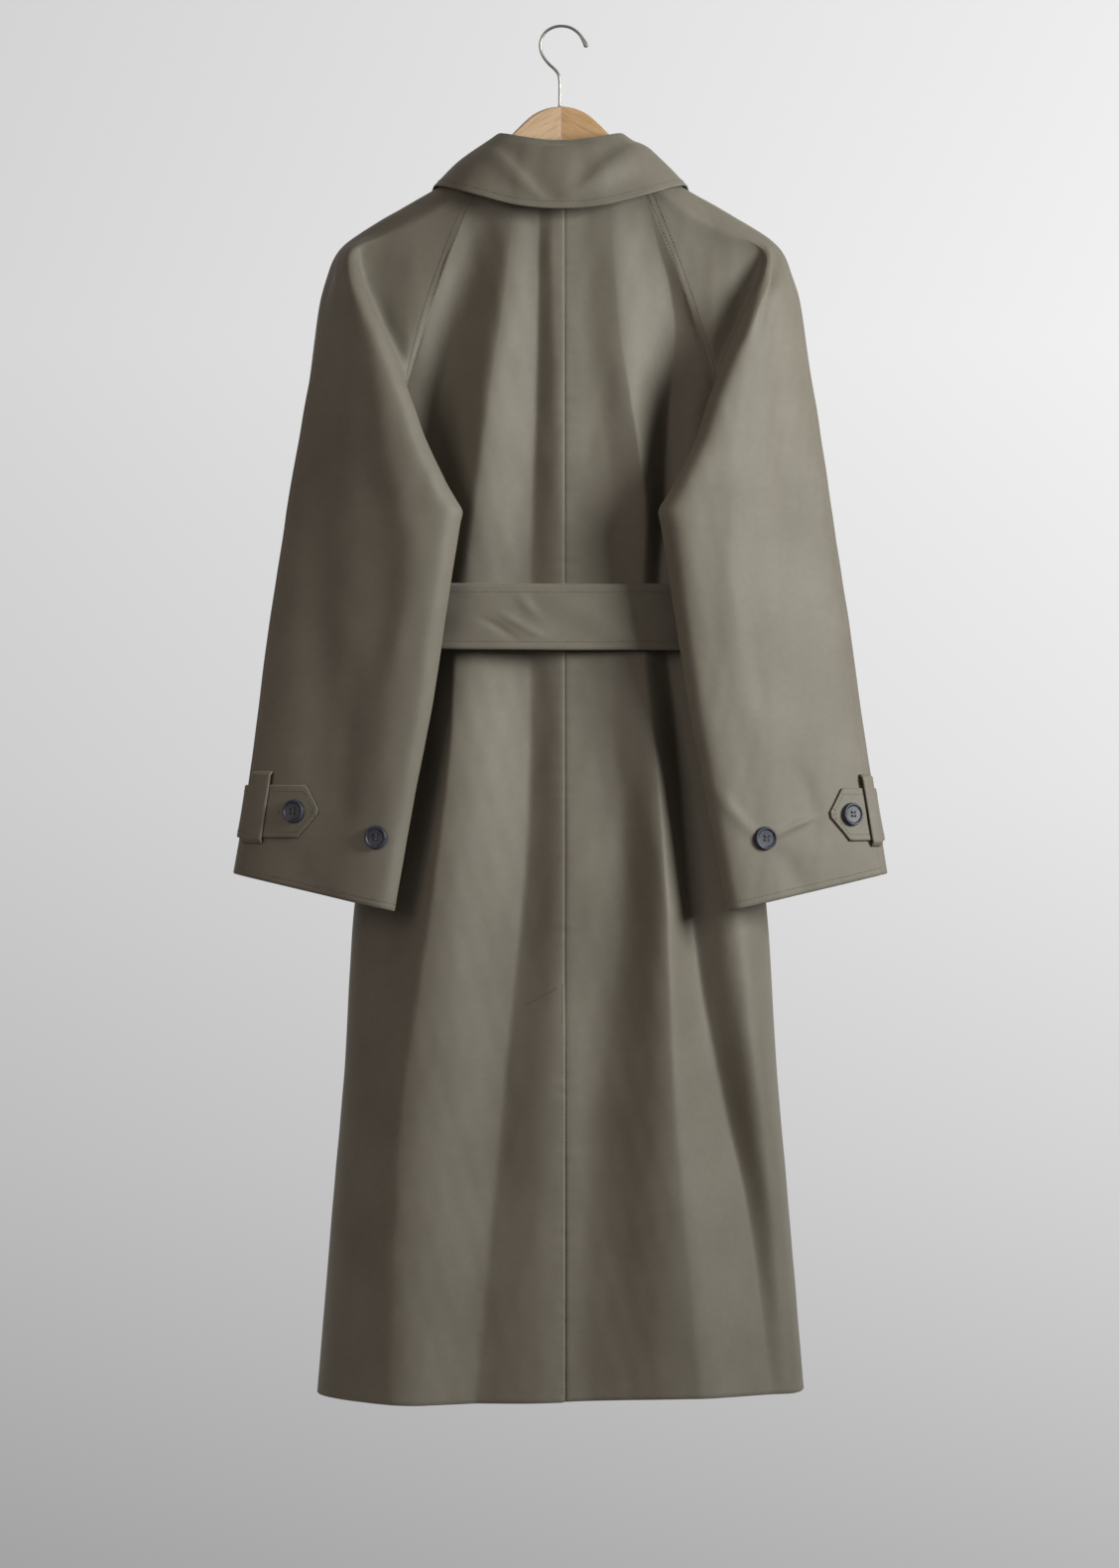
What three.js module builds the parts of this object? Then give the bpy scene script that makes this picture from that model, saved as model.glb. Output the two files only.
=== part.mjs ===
// A belted raglan trench coat on a wooden hanger, seen from behind.
// Millimetres. +X is the viewer's right, +Y runs away from the viewer to the wall, +Z is up.
// The origin is the underside of the hook's crown, where a rail or peg carries the hanger.
import * as THREE from 'three';

// Driving dimensions
const CLOTH = 1.8; // wall of the lined cotton gabardine
const SEAM_GAP = 0.3; // clearance between neighbouring pieces
const HEM_Z = -1305; // coat hem below the hook's crown
const ARMPIT_Z = -480; // where the raglan seam meets the side seam
const CENTRE_BACK_X = 4; // the centre back seam hangs a little to the right
const VENT_TOP_Z = -914; // top of the back vent
const VENT_LAP = 42; // width of the vent's underlap
const BELT_TOP_Z = -534;
const BELT_WIDTH = 60;
const BELT_CLOTH = 3; // belt: two layers and interfacing
const BUTTON_RADIUS = 11.2;
const BUTTON_HEIGHT = 3.6;
const FRONT_LAP = 32; // overlap past the centre front, each way
const WIRE_RADIUS = 1.5; // hook wire where it enters the wood
const WOOD_THICK = 14; // hanger board, front to back

// Rows of numbers under named columns.
const table = (columns, rows) =>
  rows.map((row) => Object.fromEntries(columns.map((name, i) => [name, row[i]])));

// Rings of the coat's body, top to bottom: half width, and the depth of the back and of the
// front from the side seams.
const BODY_RINGS = table(['z', 'half', 'back', 'front'], [
  [-120, 186, 44, 24], [-200, 205, 52, 30], [-260, 205, 56, 33], [-340, 198, 58, 36],
  [-420, 188, 58, 38], [-480, 180, 57, 38], [-534, 171, 56, 38], [-594, 170, 57, 38],
  [-700, 181, 62, 40], [-850, 198, 70, 42], [-1000, 207, 78, 44], [-1150, 220, 86, 46],
  [HEM_Z, 233, 94, 48],
]);
const BODY_SQUARE = 0.35; // how much fuller than an ellipse a ring is towards the sides

// The hem hangs a little lower on the left than on the right.
const HEM_LINE = table(['x', 'drop'], [[-233, 0], [-132, 3], [0, 0], [126, -5], [233, -4]]);

// The raglan seams, as the angle round the body ring from the centre back or centre front.
const RAGLAN_SEAM = table(['z', 'angle'], [
  [-120, 21], [-168, 25], [-215, 30], [-293, 40], [-340, 47], [-380, 54], [-430, 65], [-460, 76],
  [ARMPIT_Z, 90],
]);

// The lines down the back that its folds run on, from left to right: crests, hollows and the
// feet of both. Each row is z, x and height; creased is how far a line is a crease and not a
// round, from 0 to 1.
const pleat = (creased, rows) => ({ creased, rows: table(['z', 'x', 'height'], rows) });
const BACK_PLEATS = {
  leftFoot: pleat(0, [
    [-152, -107, 0], [-178, -107, 0], [-249, -124, 0], [-353, -153, -7], [-520, -147, 0],
    [-619, -151, -2], [-733, -164, 0], [-847, -195, 2], [-904, -204, 2], [-1018, -212, 1],
    [-1132, -216, 0], [-1305, -223, 0],
  ]),
  leftGully: pleat(0, [
    [-152, -78, 0], [-178, -78, -4], [-249, -90, -13], [-296, -103, -18], [-353, -115, -21],
    [-410, -119, -20], [-520, -121, -7], [-562, -121, -5], [-619, -123, -13], [-676, -128, -16],
    [-733, -136, -16], [-904, -172, -3], [-1018, -185, 2], [-1132, -189, 3], [-1305, -195, 2],
  ]),
  leftCrest: pleat(0.15, [
    [-152, -44, 0], [-249, -52, 8], [-353, -67, 20], [-410, -74, 22], [-467, -81, 19],
    [-520, -88, 10], [-562, -92, 7], [-600, -98, 8], [-629, -101, 15], [-676, -103, 23],
    [-733, -108, 26], [-904, -130, 23], [-1018, -148, 19], [-1132, -155, 15], [-1305, -161, 10],
  ]),
  leftTrough: pleat(0.75, [
    [-152, -20, 0], [-178, -20, -2], [-353, -22, -3], [-467, -26, -4], [-520, -28, -4],
    [-676, -28, -7], [-790, -31, -9], [-961, -48, -13], [-1132, -64, -17], [-1305, -80, -18],
  ]),
  centreRidge: pleat(0, [
    [-152, -7, 0], [-249, -6, 3], [-410, 1, 6], [-562, 3, 3], [-733, 7, 6], [-847, 7, 6],
    [-1018, -9, 0], [-1132, -12, -3], [-1305, -14, -4],
  ]),
  rightTrough: pleat(0, [
    [-152, 19, 0], [-296, 29, 1], [-467, 47, 4], [-562, 48, 3], [-676, 48, 3], [-733, 54, 1],
    [-790, 60, -1], [-847, 60, -2], [-904, 52, -2], [-1075, 30, -4], [-1246, 22, -6],
    [-1305, 20, -6],
  ]),
  rightCrest: pleat(0.3, [
    [-152, 45, 0], [-296, 56, 4], [-353, 65, 8], [-410, 74, 11], [-467, 81, 10], [-520, 79, 7],
    [-562, 78, 6], [-600, 80, 8], [-676, 87, 16], [-733, 93, 21], [-847, 101, 25], [-923, 103, 24],
    [-1018, 106, 21], [-1132, 114, 17], [-1305, 130, 11],
  ]),
  rightGully: pleat(0.45, [
    [-152, 80, 0], [-178, 84, -3], [-215, 93, -9], [-249, 103, -14], [-296, 109, -19],
    [-353, 104, -23], [-410, 100, -21], [-467, 98, -14], [-520, 94, -7], [-562, 95, -5],
    [-619, 103, -10], [-676, 110, -13], [-790, 119, -13], [-904, 132, -10], [-1018, 154, -8],
    [-1132, 178, -4], [-1305, 200, -2],
  ]),
  rightSide: pleat(0, [
    [-152, 119, 0], [-178, 119, 0], [-249, 133, 0], [-296, 149, 0], [-353, 140, -5],
    [-410, 130, -3], [-520, 123, 2], [-562, 124, 2], [-676, 143, 4], [-790, 163, 16],
    [-904, 180, 30], [-1018, 197, 42], [-1132, 212, 36], [-1305, 230, 20],
  ]),
};

// Soft folds of the two fronts, on the wall side.
const FOLD_COLUMNS = ['z', 'x', 'rise', 'left', 'right'];
const FRONT_FOLDS = [
  table(FOLD_COLUMNS, [
    [-300, -96, 0, 26, 26], [-520, -92, 4, 26, 26], [-640, -96, 4, 26, 26], [HEM_Z, -140, 12, 34, 34],
  ]),
  table(FOLD_COLUMNS, [
    [-300, 100, 0, 26, 26], [-520, 96, 4, 26, 26], [-640, 100, 4, 26, 26], [HEM_Z, 136, 11, 34, 34],
  ]),
];

// Sections of a sleeve, for the right one; the left is its mirror image. Going round: the
// raglan seam, foot (under the turned edge), edge (nearest the centre), nose (nearest the
// viewer), face, shoulder seam, outer edge, wall side and back to the seam. Below the armpit
// the section closes at the underarm seam, at under and underY.
const SLEEVE_COLUMNS = [
  'z', 'foot', 'footY', 'edge', 'edgeY', 'nose', 'noseY', 'bulge', 'outer', 'outerY', 'wallY', 'under',
  'underY',
];
const SLEEVE_SECTIONS = table(SLEEVE_COLUMNS, [
  [-120, 73, -30, 75, -27, 77, -23, 1, 84, -5, 8, 182, -8],
  [-150, 88, -41, 95, -37, 100, -32, 2, 114, -5, 16, 182, -8],
  [-175, 112, -44, 124, -39, 132, -34, 3, 154, -6, 22, 182, -8],
  [-200, 156, -41, 167, -38, 174, -33, 3, 196, -7, 26, 182, -8],
  [-216, 186, -38, 193, -41, 198, -41, 4, 212, -9, 28, 182, -8],
  [-240, 187, -38, 193, -54, 200, -57, 6, 222, -13, 30, 182, -8],
  [-265, 178, -42, 182, -66, 192, -74, 8, 229, -17, 31, 182, -8],
  [-328, 151, -54, 153, -80, 166, -93, 12, 238, -22, 30, 182, -8],
  [-372, 147, -66, 136, -89, 148, -103, 14, 245, -24, 26, 182, -8],
  [-400, 139, -72, 126, -93, 139, -108, 15, 249, -25, 22, 182, -8],
  [-439, 123, -80, 108, -98, 122, -113, 16, 255, -26, 14, 182, -8],
  [-457, 114, -82, 98, -99, 113, -114, 16, 257.6, -26, 10.5, 182, -8],
  [-468, 110, -83, 92, -99.5, 108, -114.6, 16, 259.2, -26, 8.3, 182, -6],
  [ARMPIT_Z, 110, -84, 94, -100, 109, -115, 16, 261, -26, 6, 181, -3],
  [-530, 117, -82, 102, -99, 116, -114, 16, 269, -26, -8, 188, -34],
  [-590, 126, -82, 111, -98, 124, -112, 15, 278, -27, -11, 190, -44],
  [-660, 138, -81, 122, -98, 134, -110, 14, 287, -28, -13, 200, -46],
  [-733, 152, -80, 136, -97, 148, -108, 12, 298, -30, -15, 210, -48],
  [-810, 166, -78, 150, -95, 162, -106, 10, 311, -33, -17, 222, -48],
  [-850, 173, -76, 157, -93, 169, -104, 10, 318, -35, -18, 228, -48],
]);
const CUFF_OUTER = { x: 314, z: -808 }; // the cuff's hem slants down to its inner side
const CUFF_INNER = { x: 157, z: -842 };

// Guide lines of the collar, by the angle round the neck from the centre back: the neck seam
// comes from the neck ring, fold is the roll line and leaf the outer edge.
const COLLAR_COLUMNS = ['angle', 'foldX', 'foldY', 'foldZ', 'leafX', 'leafY', 'leafZ'];
const COLLAR_GUIDES = table(COLLAR_COLUMNS, [
  [0, 0, -45, -113, 0, -74, -180],
  [12, 12.5, -44.9, -112.6, 19, -73.9, -179.5],
  [30, 31, -43, -110, 46, -72.5, -176],
  [60, 52, -30, -105, 90, -62, -163],
  [78, 58, -14, -103, 113, -36, -154.5],
  [92, 58, -1, -105, 122, -5, -151.5],
  [115, 53, 18, -116, 124, 31, -178],
  [145, 36, 32, -143, 96, 39, -224],
  [176, 5, 40, -174, 64, 41, -268],
]);

// Shared arithmetic
const radians = THREE.MathUtils.degToRad;
const mix = THREE.MathUtils.lerp;
const limited = THREE.MathUtils.clamp;
const ease = (t) => t * t * (3 - 2 * t);
const smooth = (from, to, value) => ease(limited((value - from) / (to - from), 0, 1));
const point = (x, y, z) => new THREE.Vector3(x, y, z);

// A value read from a table at a height or angle, on a cubic curve through the rows.
function readTable(rows, key, column, at) {
  const falling = rows[0][key] > rows[rows.length - 1][key];
  const position = (row) => (falling ? -row[key] : row[key]);
  const wanted = falling ? -at : at;
  const last = rows.length - 1;
  if (wanted <= position(rows[0])) return rows[0][column];
  if (wanted >= position(rows[last])) return rows[last][column];
  let i = 0;
  while (position(rows[i + 1]) < wanted) i += 1;
  const slope = (j) => {
    const before = rows[Math.max(j - 1, 0)];
    const after = rows[Math.min(j + 1, last)];
    return (after[column] - before[column]) / (position(after) - position(before));
  };
  const span = position(rows[i + 1]) - position(rows[i]);
  const t = (wanted - position(rows[i])) / span;
  const t2 = t * t;
  const t3 = t2 * t;
  return (
    (2 * t3 - 3 * t2 + 1) * rows[i][column] +
    (t3 - 2 * t2 + t) * span * slope(i) +
    (3 * t2 - 2 * t3) * rows[i + 1][column] +
    (t3 - t2) * span * slope(i + 1)
  );
}

// How far one fold lifts the cloth at x and z: a bell with its own width on each flank.
function foldRise(rows, x, z) {
  const away = x - readTable(rows, 'z', 'x', z);
  const width = readTable(rows, 'z', away < 0 ? 'left' : 'right', z);
  return readTable(rows, 'z', 'rise', z) * Math.exp(-((away / width) ** 2));
}

// How far the folds of the back lift the cloth towards the viewer: a cubic across the lines at
// each height. Its slope at a line is the harmonic mean of the chords either side, level at a
// crest or hollow, and nearer each chord's own where the line is creased.
const RELIEF_REACH = 1.05; // of the ring's half width, where the relief ends
function backRelief(x, z, half) {
  const knots = [{ x: -RELIEF_REACH * half, height: 0, creased: 0 }];
  for (const { creased, rows } of Object.values(BACK_PLEATS)) {
    const at = Math.max(readTable(rows, 'z', 'x', z), knots.at(-1).x + 1);
    knots.push({ x: at, height: readTable(rows, 'z', 'height', z), creased });
  }
  knots.push({ x: Math.max(RELIEF_REACH * half, knots.at(-1).x + 1), height: 0, creased: 0 });
  if (x <= knots[0].x || x >= knots.at(-1).x) return 0;
  let i = 0;
  while (x >= knots[i + 1].x) i += 1;
  const chord = (j) => (knots[j + 1].height - knots[j].height) / (knots[j + 1].x - knots[j].x);
  const slope = (j) => {
    if (j === 0 || j === knots.length - 1) return 0;
    const product = chord(j - 1) * chord(j);
    const level = product > 0 ? (2 * product) / (chord(j - 1) + chord(j)) : 0;
    return mix(level, chord(i), knots[j].creased);
  };
  const span = knots[i + 1].x - knots[i].x;
  const t = (x - knots[i].x) / span;
  const t2 = t * t;
  const t3 = t2 * t;
  return (
    (2 * t3 - 3 * t2 + 1) * knots[i].height +
    (t3 - 2 * t2 + t) * span * slope(i) +
    (3 * t2 - 2 * t3) * knots[i + 1].height +
    (t3 - t2) * span * slope(i + 1)
  );
}

// A point of the body's outer surface. angle runs from -180 to 180 degrees, with 0 at the
// centre back and 90 at the right side seam; lift moves the point off the surface.
function bodyPoint(angle, z, lift = 0) {
  const turn = radians(angle);
  const ring = (column) => readTable(BODY_RINGS, 'z', column, z);
  const across = Math.sin(turn);
  const facing = Math.cos(turn);
  const x = (ring('half') + lift) * across;
  const depth = facing > 0 ? ring('back') : ring('front');
  let y = -(depth + lift) * facing * (1 + BODY_SQUARE * across * across);
  if (facing > 0) y -= backRelief(x, z, ring('half')) * Math.sqrt(facing);
  else for (const rows of FRONT_FOLDS) y += foldRise(rows, x, z) * Math.sqrt(-facing);
  return point(x, y, z);
}

// The height of the hem at x.
const hemZ = (x) => HEM_Z - readTable(HEM_LINE, 'x', 'drop', x);

// The angle round the body at which the surface stands at x.
function angleAt(x, z) {
  const share = limited(x / readTable(BODY_RINGS, 'z', 'half', z), -1, 1);
  return THREE.MathUtils.radToDeg(Math.asin(share));
}

// The angle of the edge of a front or back panel: the raglan seam, then the side seam.
function edgeAngle(z) {
  return z > ARMPIT_Z ? limited(readTable(RAGLAN_SEAM, 'z', 'angle', z), 0, 90) : 90;
}

// The neck seam, by the angle round the neck from the centre back.
const NECK_HALF_WIDTH = 84;
const NECK_BACK_Z = -148;
const NECK_SIDE_RISE = 21;
const NECK_FRONT_DROP = 74;
function neckPoint(angle) {
  const across = Math.sin(radians(angle));
  const facing = Math.cos(radians(angle));
  const square = 1 + 0.45 * across * across;
  const side = NECK_BACK_Z + NECK_SIDE_RISE;
  const z = facing > 0
    ? NECK_BACK_Z + NECK_SIDE_RISE * across ** 6
    : side - NECK_FRONT_DROP * (-facing) ** 1.2;
  return point(NECK_HALF_WIDTH * across, -8 - (facing > 0 ? 37 : 38) * facing * square, z);
}
const NECK_RAGLAN_BACK = 60; // where the raglan seams meet the neck seam
const NECK_RAGLAN_FRONT = 120;
const NECK_BLEND = 24; // depth over which a panel runs into the neck seam

// A closed wall from a grid of outer points: at(i, j) gives a point and inwards(i, j) the
// vector to its partner on the inside.
function wall(columns, rows, at, inwards, closedRound = false) {
  const vertices = [];
  const faces = [];
  const across = closedRound ? columns : columns + 1;
  for (const layer of [0, 1]) {
    for (let j = 0; j <= rows; j += 1) {
      for (let i = 0; i < across; i += 1) {
        const p = at(i, j).clone();
        if (layer) p.add(inwards(i, j));
        vertices.push(p.x, p.y, p.z);
      }
    }
  }
  const layerSize = across * (rows + 1);
  const index = (layer, i, j) => layer * layerSize + j * across + (i % across);
  const quad = (a, b, c, d) => faces.push(a, b, c, a, c, d);
  for (let j = 0; j < rows; j += 1) {
    for (let i = 0; i < columns; i += 1) {
      quad(index(0, i, j), index(0, i, j + 1), index(0, i + 1, j + 1), index(0, i + 1, j));
      quad(index(1, i, j), index(1, i + 1, j), index(1, i + 1, j + 1), index(1, i, j + 1));
    }
    if (!closedRound) {
      quad(index(0, 0, j), index(1, 0, j), index(1, 0, j + 1), index(0, 0, j + 1));
      quad(index(0, columns, j), index(0, columns, j + 1), index(1, columns, j + 1), index(1, columns, j));
    }
  }
  for (let i = 0; i < columns; i += 1) {
    quad(index(0, i, 0), index(0, i + 1, 0), index(1, i + 1, 0), index(1, i, 0));
    quad(index(0, i, rows), index(1, i, rows), index(1, i + 1, rows), index(0, i + 1, rows));
  }
  const geometry = new THREE.BufferGeometry();
  geometry.setAttribute('position', new THREE.Float32BufferAttribute(vertices, 3));
  geometry.setIndex(faces);
  return outwards(geometry);
}

// Turns a closed geometry inside out where its volume comes out negative.
function outwards(geometry) {
  const p = geometry.attributes.position;
  const f = geometry.index.array;
  const corner = (i) => point(p.getX(i), p.getY(i), p.getZ(i));
  let volume = 0;
  for (let i = 0; i < f.length; i += 3) {
    volume += corner(f[i]).dot(corner(f[i + 1]).cross(corner(f[i + 2])));
  }
  if (volume < 0) {
    for (let i = 0; i < f.length; i += 3) [f[i + 1], f[i + 2]] = [f[i + 2], f[i + 1]];
  }
  geometry.computeVertexNormals();
  return geometry;
}

// A cloth panel from a surface function of two parameters. The wall's inner side follows the
// surface's own normal, so that neighbouring panels keep their gap.
function clothPanel(surface, across, down, thickness = CLOTH, side = 1) {
  const grid = down.map((v) => across.map((u) => surface(u, v)));
  const step = 1e-3;
  const inwards = (i, j) => {
    const u = across[i];
    const v = down[j];
    const du = surface(u + step, v).sub(surface(u - step, v));
    const dv = surface(u, v + step).sub(surface(u, v - step));
    return du.cross(dv).normalize().multiplyScalar(side * thickness);
  };
  return wall(across.length - 1, down.length - 1, (i, j) => grid[j][i], inwards);
}

// Parameters from 0 to 1 in equal steps.
const steps = (count) => Array.from({ length: count + 1 }, (_, i) => i / count);

// Parameters through named stops, with its own number of steps between each pair.
function stepsBetween(stops, counts) {
  const values = [stops[0]];
  counts.forEach((count, k) => {
    for (let i = 1; i <= count; i += 1) values.push(mix(stops[k], stops[k + 1], i / count));
  });
  return values;
}

// Heights of a panel's rows as shares of its length, closer together where folds turn.
const PANEL_ROWS = stepsBetween([0, 0.1, 0.34, 0.42, 1], [3, 8, 4, 11]);
const FRONT_ROWS = stepsBetween([0, 0.1, 0.34, 0.42, 1], [3, 5, 3, 6]);

// Moves a panel's top rows on to the neck seam, fading out below it.
function joinNeck(surfacePoint, neck, bodyAtNeck, z) {
  const fade = Math.exp(-(((neck.z - z) / NECK_BLEND) ** 2));
  return surfacePoint.add(neck.clone().sub(bodyAtNeck).setZ(0).multiplyScalar(fade));
}

const parts = new THREE.Group();
const materials = {
  cloth: new THREE.MeshStandardMaterial({ color: 0x6e685a, roughness: 0.75, metalness: 0 }),
  button: new THREE.MeshStandardMaterial({ color: 0x34363f, roughness: 0.4, metalness: 0 }),
  wood: new THREE.MeshStandardMaterial({ color: 0xc69a6c, roughness: 0.5, metalness: 0 }),
  wire: new THREE.MeshStandardMaterial({ color: 0xc8c8c4, roughness: 0.3, metalness: 0.9 }),
};
function addPart(name, geometry, material) {
  const mesh = new THREE.Mesh(geometry, material);
  mesh.name = name;
  parts.add(mesh);
  return mesh;
}

// Back: two panels joined at the centre back seam. u runs from the seam over the lines of the
// folds to the raglan or side seam, v from the neck to the hem. A stop puts its share of the
// panel's columns on a line, or at most so far out of the panel's angle.
const BACK_STOPS = {
  left: [
    { line: 'leftTrough', u: 0.2, most: 0.5 },
    { line: 'leftCrest', u: 0.5, most: 0.7 },
    { line: 'leftGully', u: 0.72, most: 0.86 },
    { line: 'leftFoot', u: 0.86, most: 0.94 },
  ],
  right: [
    { line: 'rightTrough', u: 0.2, most: 0.5 },
    { line: 'rightCrest', u: 0.5, most: 0.7 },
    { line: 'rightGully', u: 0.72, most: 0.86 },
    { line: 'rightSide', u: 0.86, most: 0.94 },
  ],
};
const LEAST_STEP = 0.05; // of the panel's angle, between two stops
function backAngle(side, u, z) {
  const start = angleAt(CENTRE_BACK_X, z) + (side * SEAM_GAP) / 4;
  const edge = side * (edgeAngle(z) - 0.12);
  let from = { u: 0, angle: start };
  for (const { line, u: at, most } of BACK_STOPS[side < 0 ? 'left' : 'right']) {
    const angle = angleAt(readTable(BACK_PLEATS[line].rows, 'z', 'x', z), z);
    const share = limited((angle - start) / (edge - start), 0, most);
    const least = (from.angle - start) / (edge - start) + LEAST_STEP;
    const to = { u: at, angle: mix(start, edge, Math.max(share, least)) };
    if (u < to.u) return mix(from.angle, to.angle, (u - from.u) / (to.u - from.u));
    from = to;
  }
  return mix(from.angle, edge, (u - from.u) / (1 - from.u));
}
const VENT_LIFT = 1.4; // the upper side of the vent stands off the underlap
function backPanel(side) {
  const surface = (u, v) => {
    const neckAngle = side * (NECK_RAGLAN_BACK - 0.7) * limited(u, -0.05, 1.05);
    const neck = neckPoint(neckAngle);
    const hemX = bodyPoint(backAngle(side, u, HEM_Z), HEM_Z).x;
    const z = mix(neck.z, hemZ(hemX), v);
    const p = bodyPoint(backAngle(side, u, z), z);
    const vent = smooth(VENT_TOP_Z + 10, VENT_TOP_Z - 60, z) * smooth(0.3, 0.05, u);
    if (side < 0) p.y -= VENT_LIFT * vent;
    return joinNeck(p, neck, bodyPoint(backAngle(side, u, neck.z), neck.z), z);
  };
  const columns = stepsBetween([0, 0.2, 0.5, 0.72, 0.86, 1], [4, 5, 4, 2, 2]);
  return clothPanel(surface, columns, PANEL_ROWS, CLOTH, side < 0 ? -1 : 1);
}
addPart('back_left', backPanel(-1), materials.cloth);
addPart('back_right', backPanel(1), materials.cloth);

// The underlap of the vent, cut in one with the right back and tucked behind the left one.
function ventUnderlap() {
  const inset = CLOTH + SEAM_GAP;
  const surface = (u, v) => {
    const x = mix(CENTRE_BACK_X + 0.6, CENTRE_BACK_X - VENT_LAP, u);
    const z = mix(VENT_TOP_Z, hemZ(x) + 1, v);
    const p = bodyPoint(angleAt(x, z), z);
    p.y += inset + 0.8;
    return p;
  };
  return clothPanel(surface, steps(5), steps(10), CLOTH, -1);
}
addPart('vent_underlap', ventUnderlap(), materials.cloth);

// Fronts: from the side or raglan seam to past the centre front, the right one on top.
const LAP_LIFT = CLOTH + 0.7;
function frontPanel(side) {
  const surface = (u, v) => {
    const neckAngle = side * mix(NECK_RAGLAN_FRONT + 0.2, 180 + 14, limited(u, -0.05, 1.05));
    const neck = neckPoint(neckAngle);
    const place = (height) => {
      const lap = 180 + Math.abs(angleAt(FRONT_LAP, height));
      return side * mix(180 - edgeAngle(height) + 0.06, lap, u);
    };
    const z = mix(neck.z, hemZ(bodyPoint(place(HEM_Z), HEM_Z).x), v);
    const p = bodyPoint(place(z), z);
    const join = joinNeck(p, neck, bodyPoint(place(neck.z), neck.z), z);
    if (side > 0) join.y += LAP_LIFT * smooth(FRONT_LAP + 26, FRONT_LAP + 6, join.x);
    return join;
  };
  return clothPanel(surface, steps(10), FRONT_ROWS, CLOTH, side < 0 ? -1 : 1);
}
addPart('front_left', frontPanel(-1), materials.cloth);
addPart('front_right', frontPanel(1), materials.cloth);

// Centripetal curve through control points, read inside one span.
function curvePoint(controls, span, t) {
  const last = controls.length - 1;
  const p1 = controls[span];
  const p2 = controls[span + 1];
  const p0 = span > 0 ? controls[span - 1] : p1.clone().multiplyScalar(2).sub(p2);
  const p3 = span + 2 <= last ? controls[span + 2] : p2.clone().multiplyScalar(2).sub(p1);
  const knot = (a, b) => Math.max(Math.sqrt(a.distanceTo(b)), 1e-3);
  const t1 = knot(p0, p1);
  const t2 = t1 + knot(p1, p2);
  const t3 = t2 + knot(p2, p3);
  const s = mix(t1, t2, t);
  const between = (a, b, from, to) => a.clone().lerp(b, (s - from) / (to - from));
  const a1 = between(p0, p1, 0, t1);
  const a2 = between(p1, p2, t1, t2);
  const a3 = between(p2, p3, t2, t3);
  return between(between(a1, a2, 0, t2), between(a2, a3, t1, t3), t1, t2);
}

// The control points of a right sleeve's section at height z.
const SHOULDER_SEAM_SPAN = 7; // the shoulder seam lies at this control point
const LAST_SPAN = 11;
const SHOULDER_SEAM_INSET = 8; // from the sleeve's outer edge in to the shoulder seam
const HEEL_LIFT = 6; // the turned part of the sleeve lies this far off the back
const ANKLE_LIFT = 3.6;
const SEAM_STEP = 1.4; // the sleeve's edge stands off the back's where they meet at the armpit
function sleeveControls(z) {
  const at = (column) => readTable(SLEEVE_SECTIONS, 'z', column, z);
  const open = z > ARMPIT_Z;
  const seam = edgeAngle(z) + 0.2;
  const joinBack = bodyPoint(seam, z);
  const joinFront = bodyPoint(180 - seam, z);
  const under = point(at('under'), at('underY'), z);
  const start = open ? joinBack : under.clone().add(point(-SEAM_GAP, -SEAM_GAP, 0));
  const end = open ? joinFront : under.clone().add(point(SEAM_GAP, SEAM_GAP, 0));
  start.z = z;
  end.z = z;
  const nose = point(at('nose'), at('noseY'), z);
  const outer = point(at('outer'), at('outerY'), z);
  const bulge = at('bulge');
  const foot = point(at('foot'), at('footY'), z);
  const turned = smooth(-230, -330, z);
  const onBody = turned * smooth(ARMPIT_Z - 100, ARMPIT_Z - 20, z);
  const clearOfBody = (p, lift) => {
    const body = bodyPoint(angleAt(p.x, z), z).y - lift;
    p.setY(mix(p.y, Math.min(p.y, body), onBody));
  };
  const ankle = start.clone().lerp(foot, 0.09);
  const heel = start.clone().lerp(foot, 0.4);
  clearOfBody(ankle, ANKLE_LIFT);
  clearOfBody(heel, HEEL_LIFT);
  start.y -= SEAM_STEP * onBody * smooth(ARMPIT_Z - 40, ARMPIT_Z, z);
  const seamShare = 1 - limited(SHOULDER_SEAM_INSET / (outer.x - nose.x), 0.05, 0.35);
  const face = (share, lift) => nose.clone().lerp(outer, share).add(point(lift * 0.4, -lift, 0));
  const wallSide = (share, reach) =>
    point(mix(outer.x, end.x, share), mix(outer.y, at('wallY'), reach), z);
  return [
    start,
    ankle,
    heel,
    foot,
    point(at('edge'), at('edgeY'), z),
    nose,
    face(0.45, bulge),
    face(seamShare, 3 + bulge * 0.3),
    outer,
    wallSide(0.14, 0.7),
    wallSide(0.5, 1),
    end,
  ];
}

// The stops of the neck seam that match the sleeve's control points, as angles.
const NECK_STOPS = [60, 61.5, 64, 67.5, 71, 75, 80, 86, 91, 98, 108, 120];

// A point of a sleeve: s counts control points round the section, v runs from neck to cuff.
function sleevePoint(side, s, v) {
  const span = limited(Math.floor(s), 0, LAST_SPAN - 1);
  const t = s - span;
  const neck = neckPoint(mix(NECK_STOPS[span], NECK_STOPS[span + 1], t));
  const hemX = curvePoint(sleeveControls((CUFF_INNER.z + CUFF_OUTER.z) / 2), span, t).x;
  const reach = (hemX - CUFF_INNER.x) / (CUFF_OUTER.x - CUFF_INNER.x);
  const cuffZ = mix(CUFF_INNER.z, CUFF_OUTER.z, reach);
  const z = mix(neck.z, cuffZ, v);
  const p = curvePoint(sleeveControls(z), span, t);
  const top = curvePoint(sleeveControls(neck.z), span, t);
  joinNeck(p, neck, top, z);
  p.x *= side;
  return p;
}
const SLEEVE_ROWS = stepsBetween([0, 0.14, 0.56, 1], [5, 9, 7]);
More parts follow.
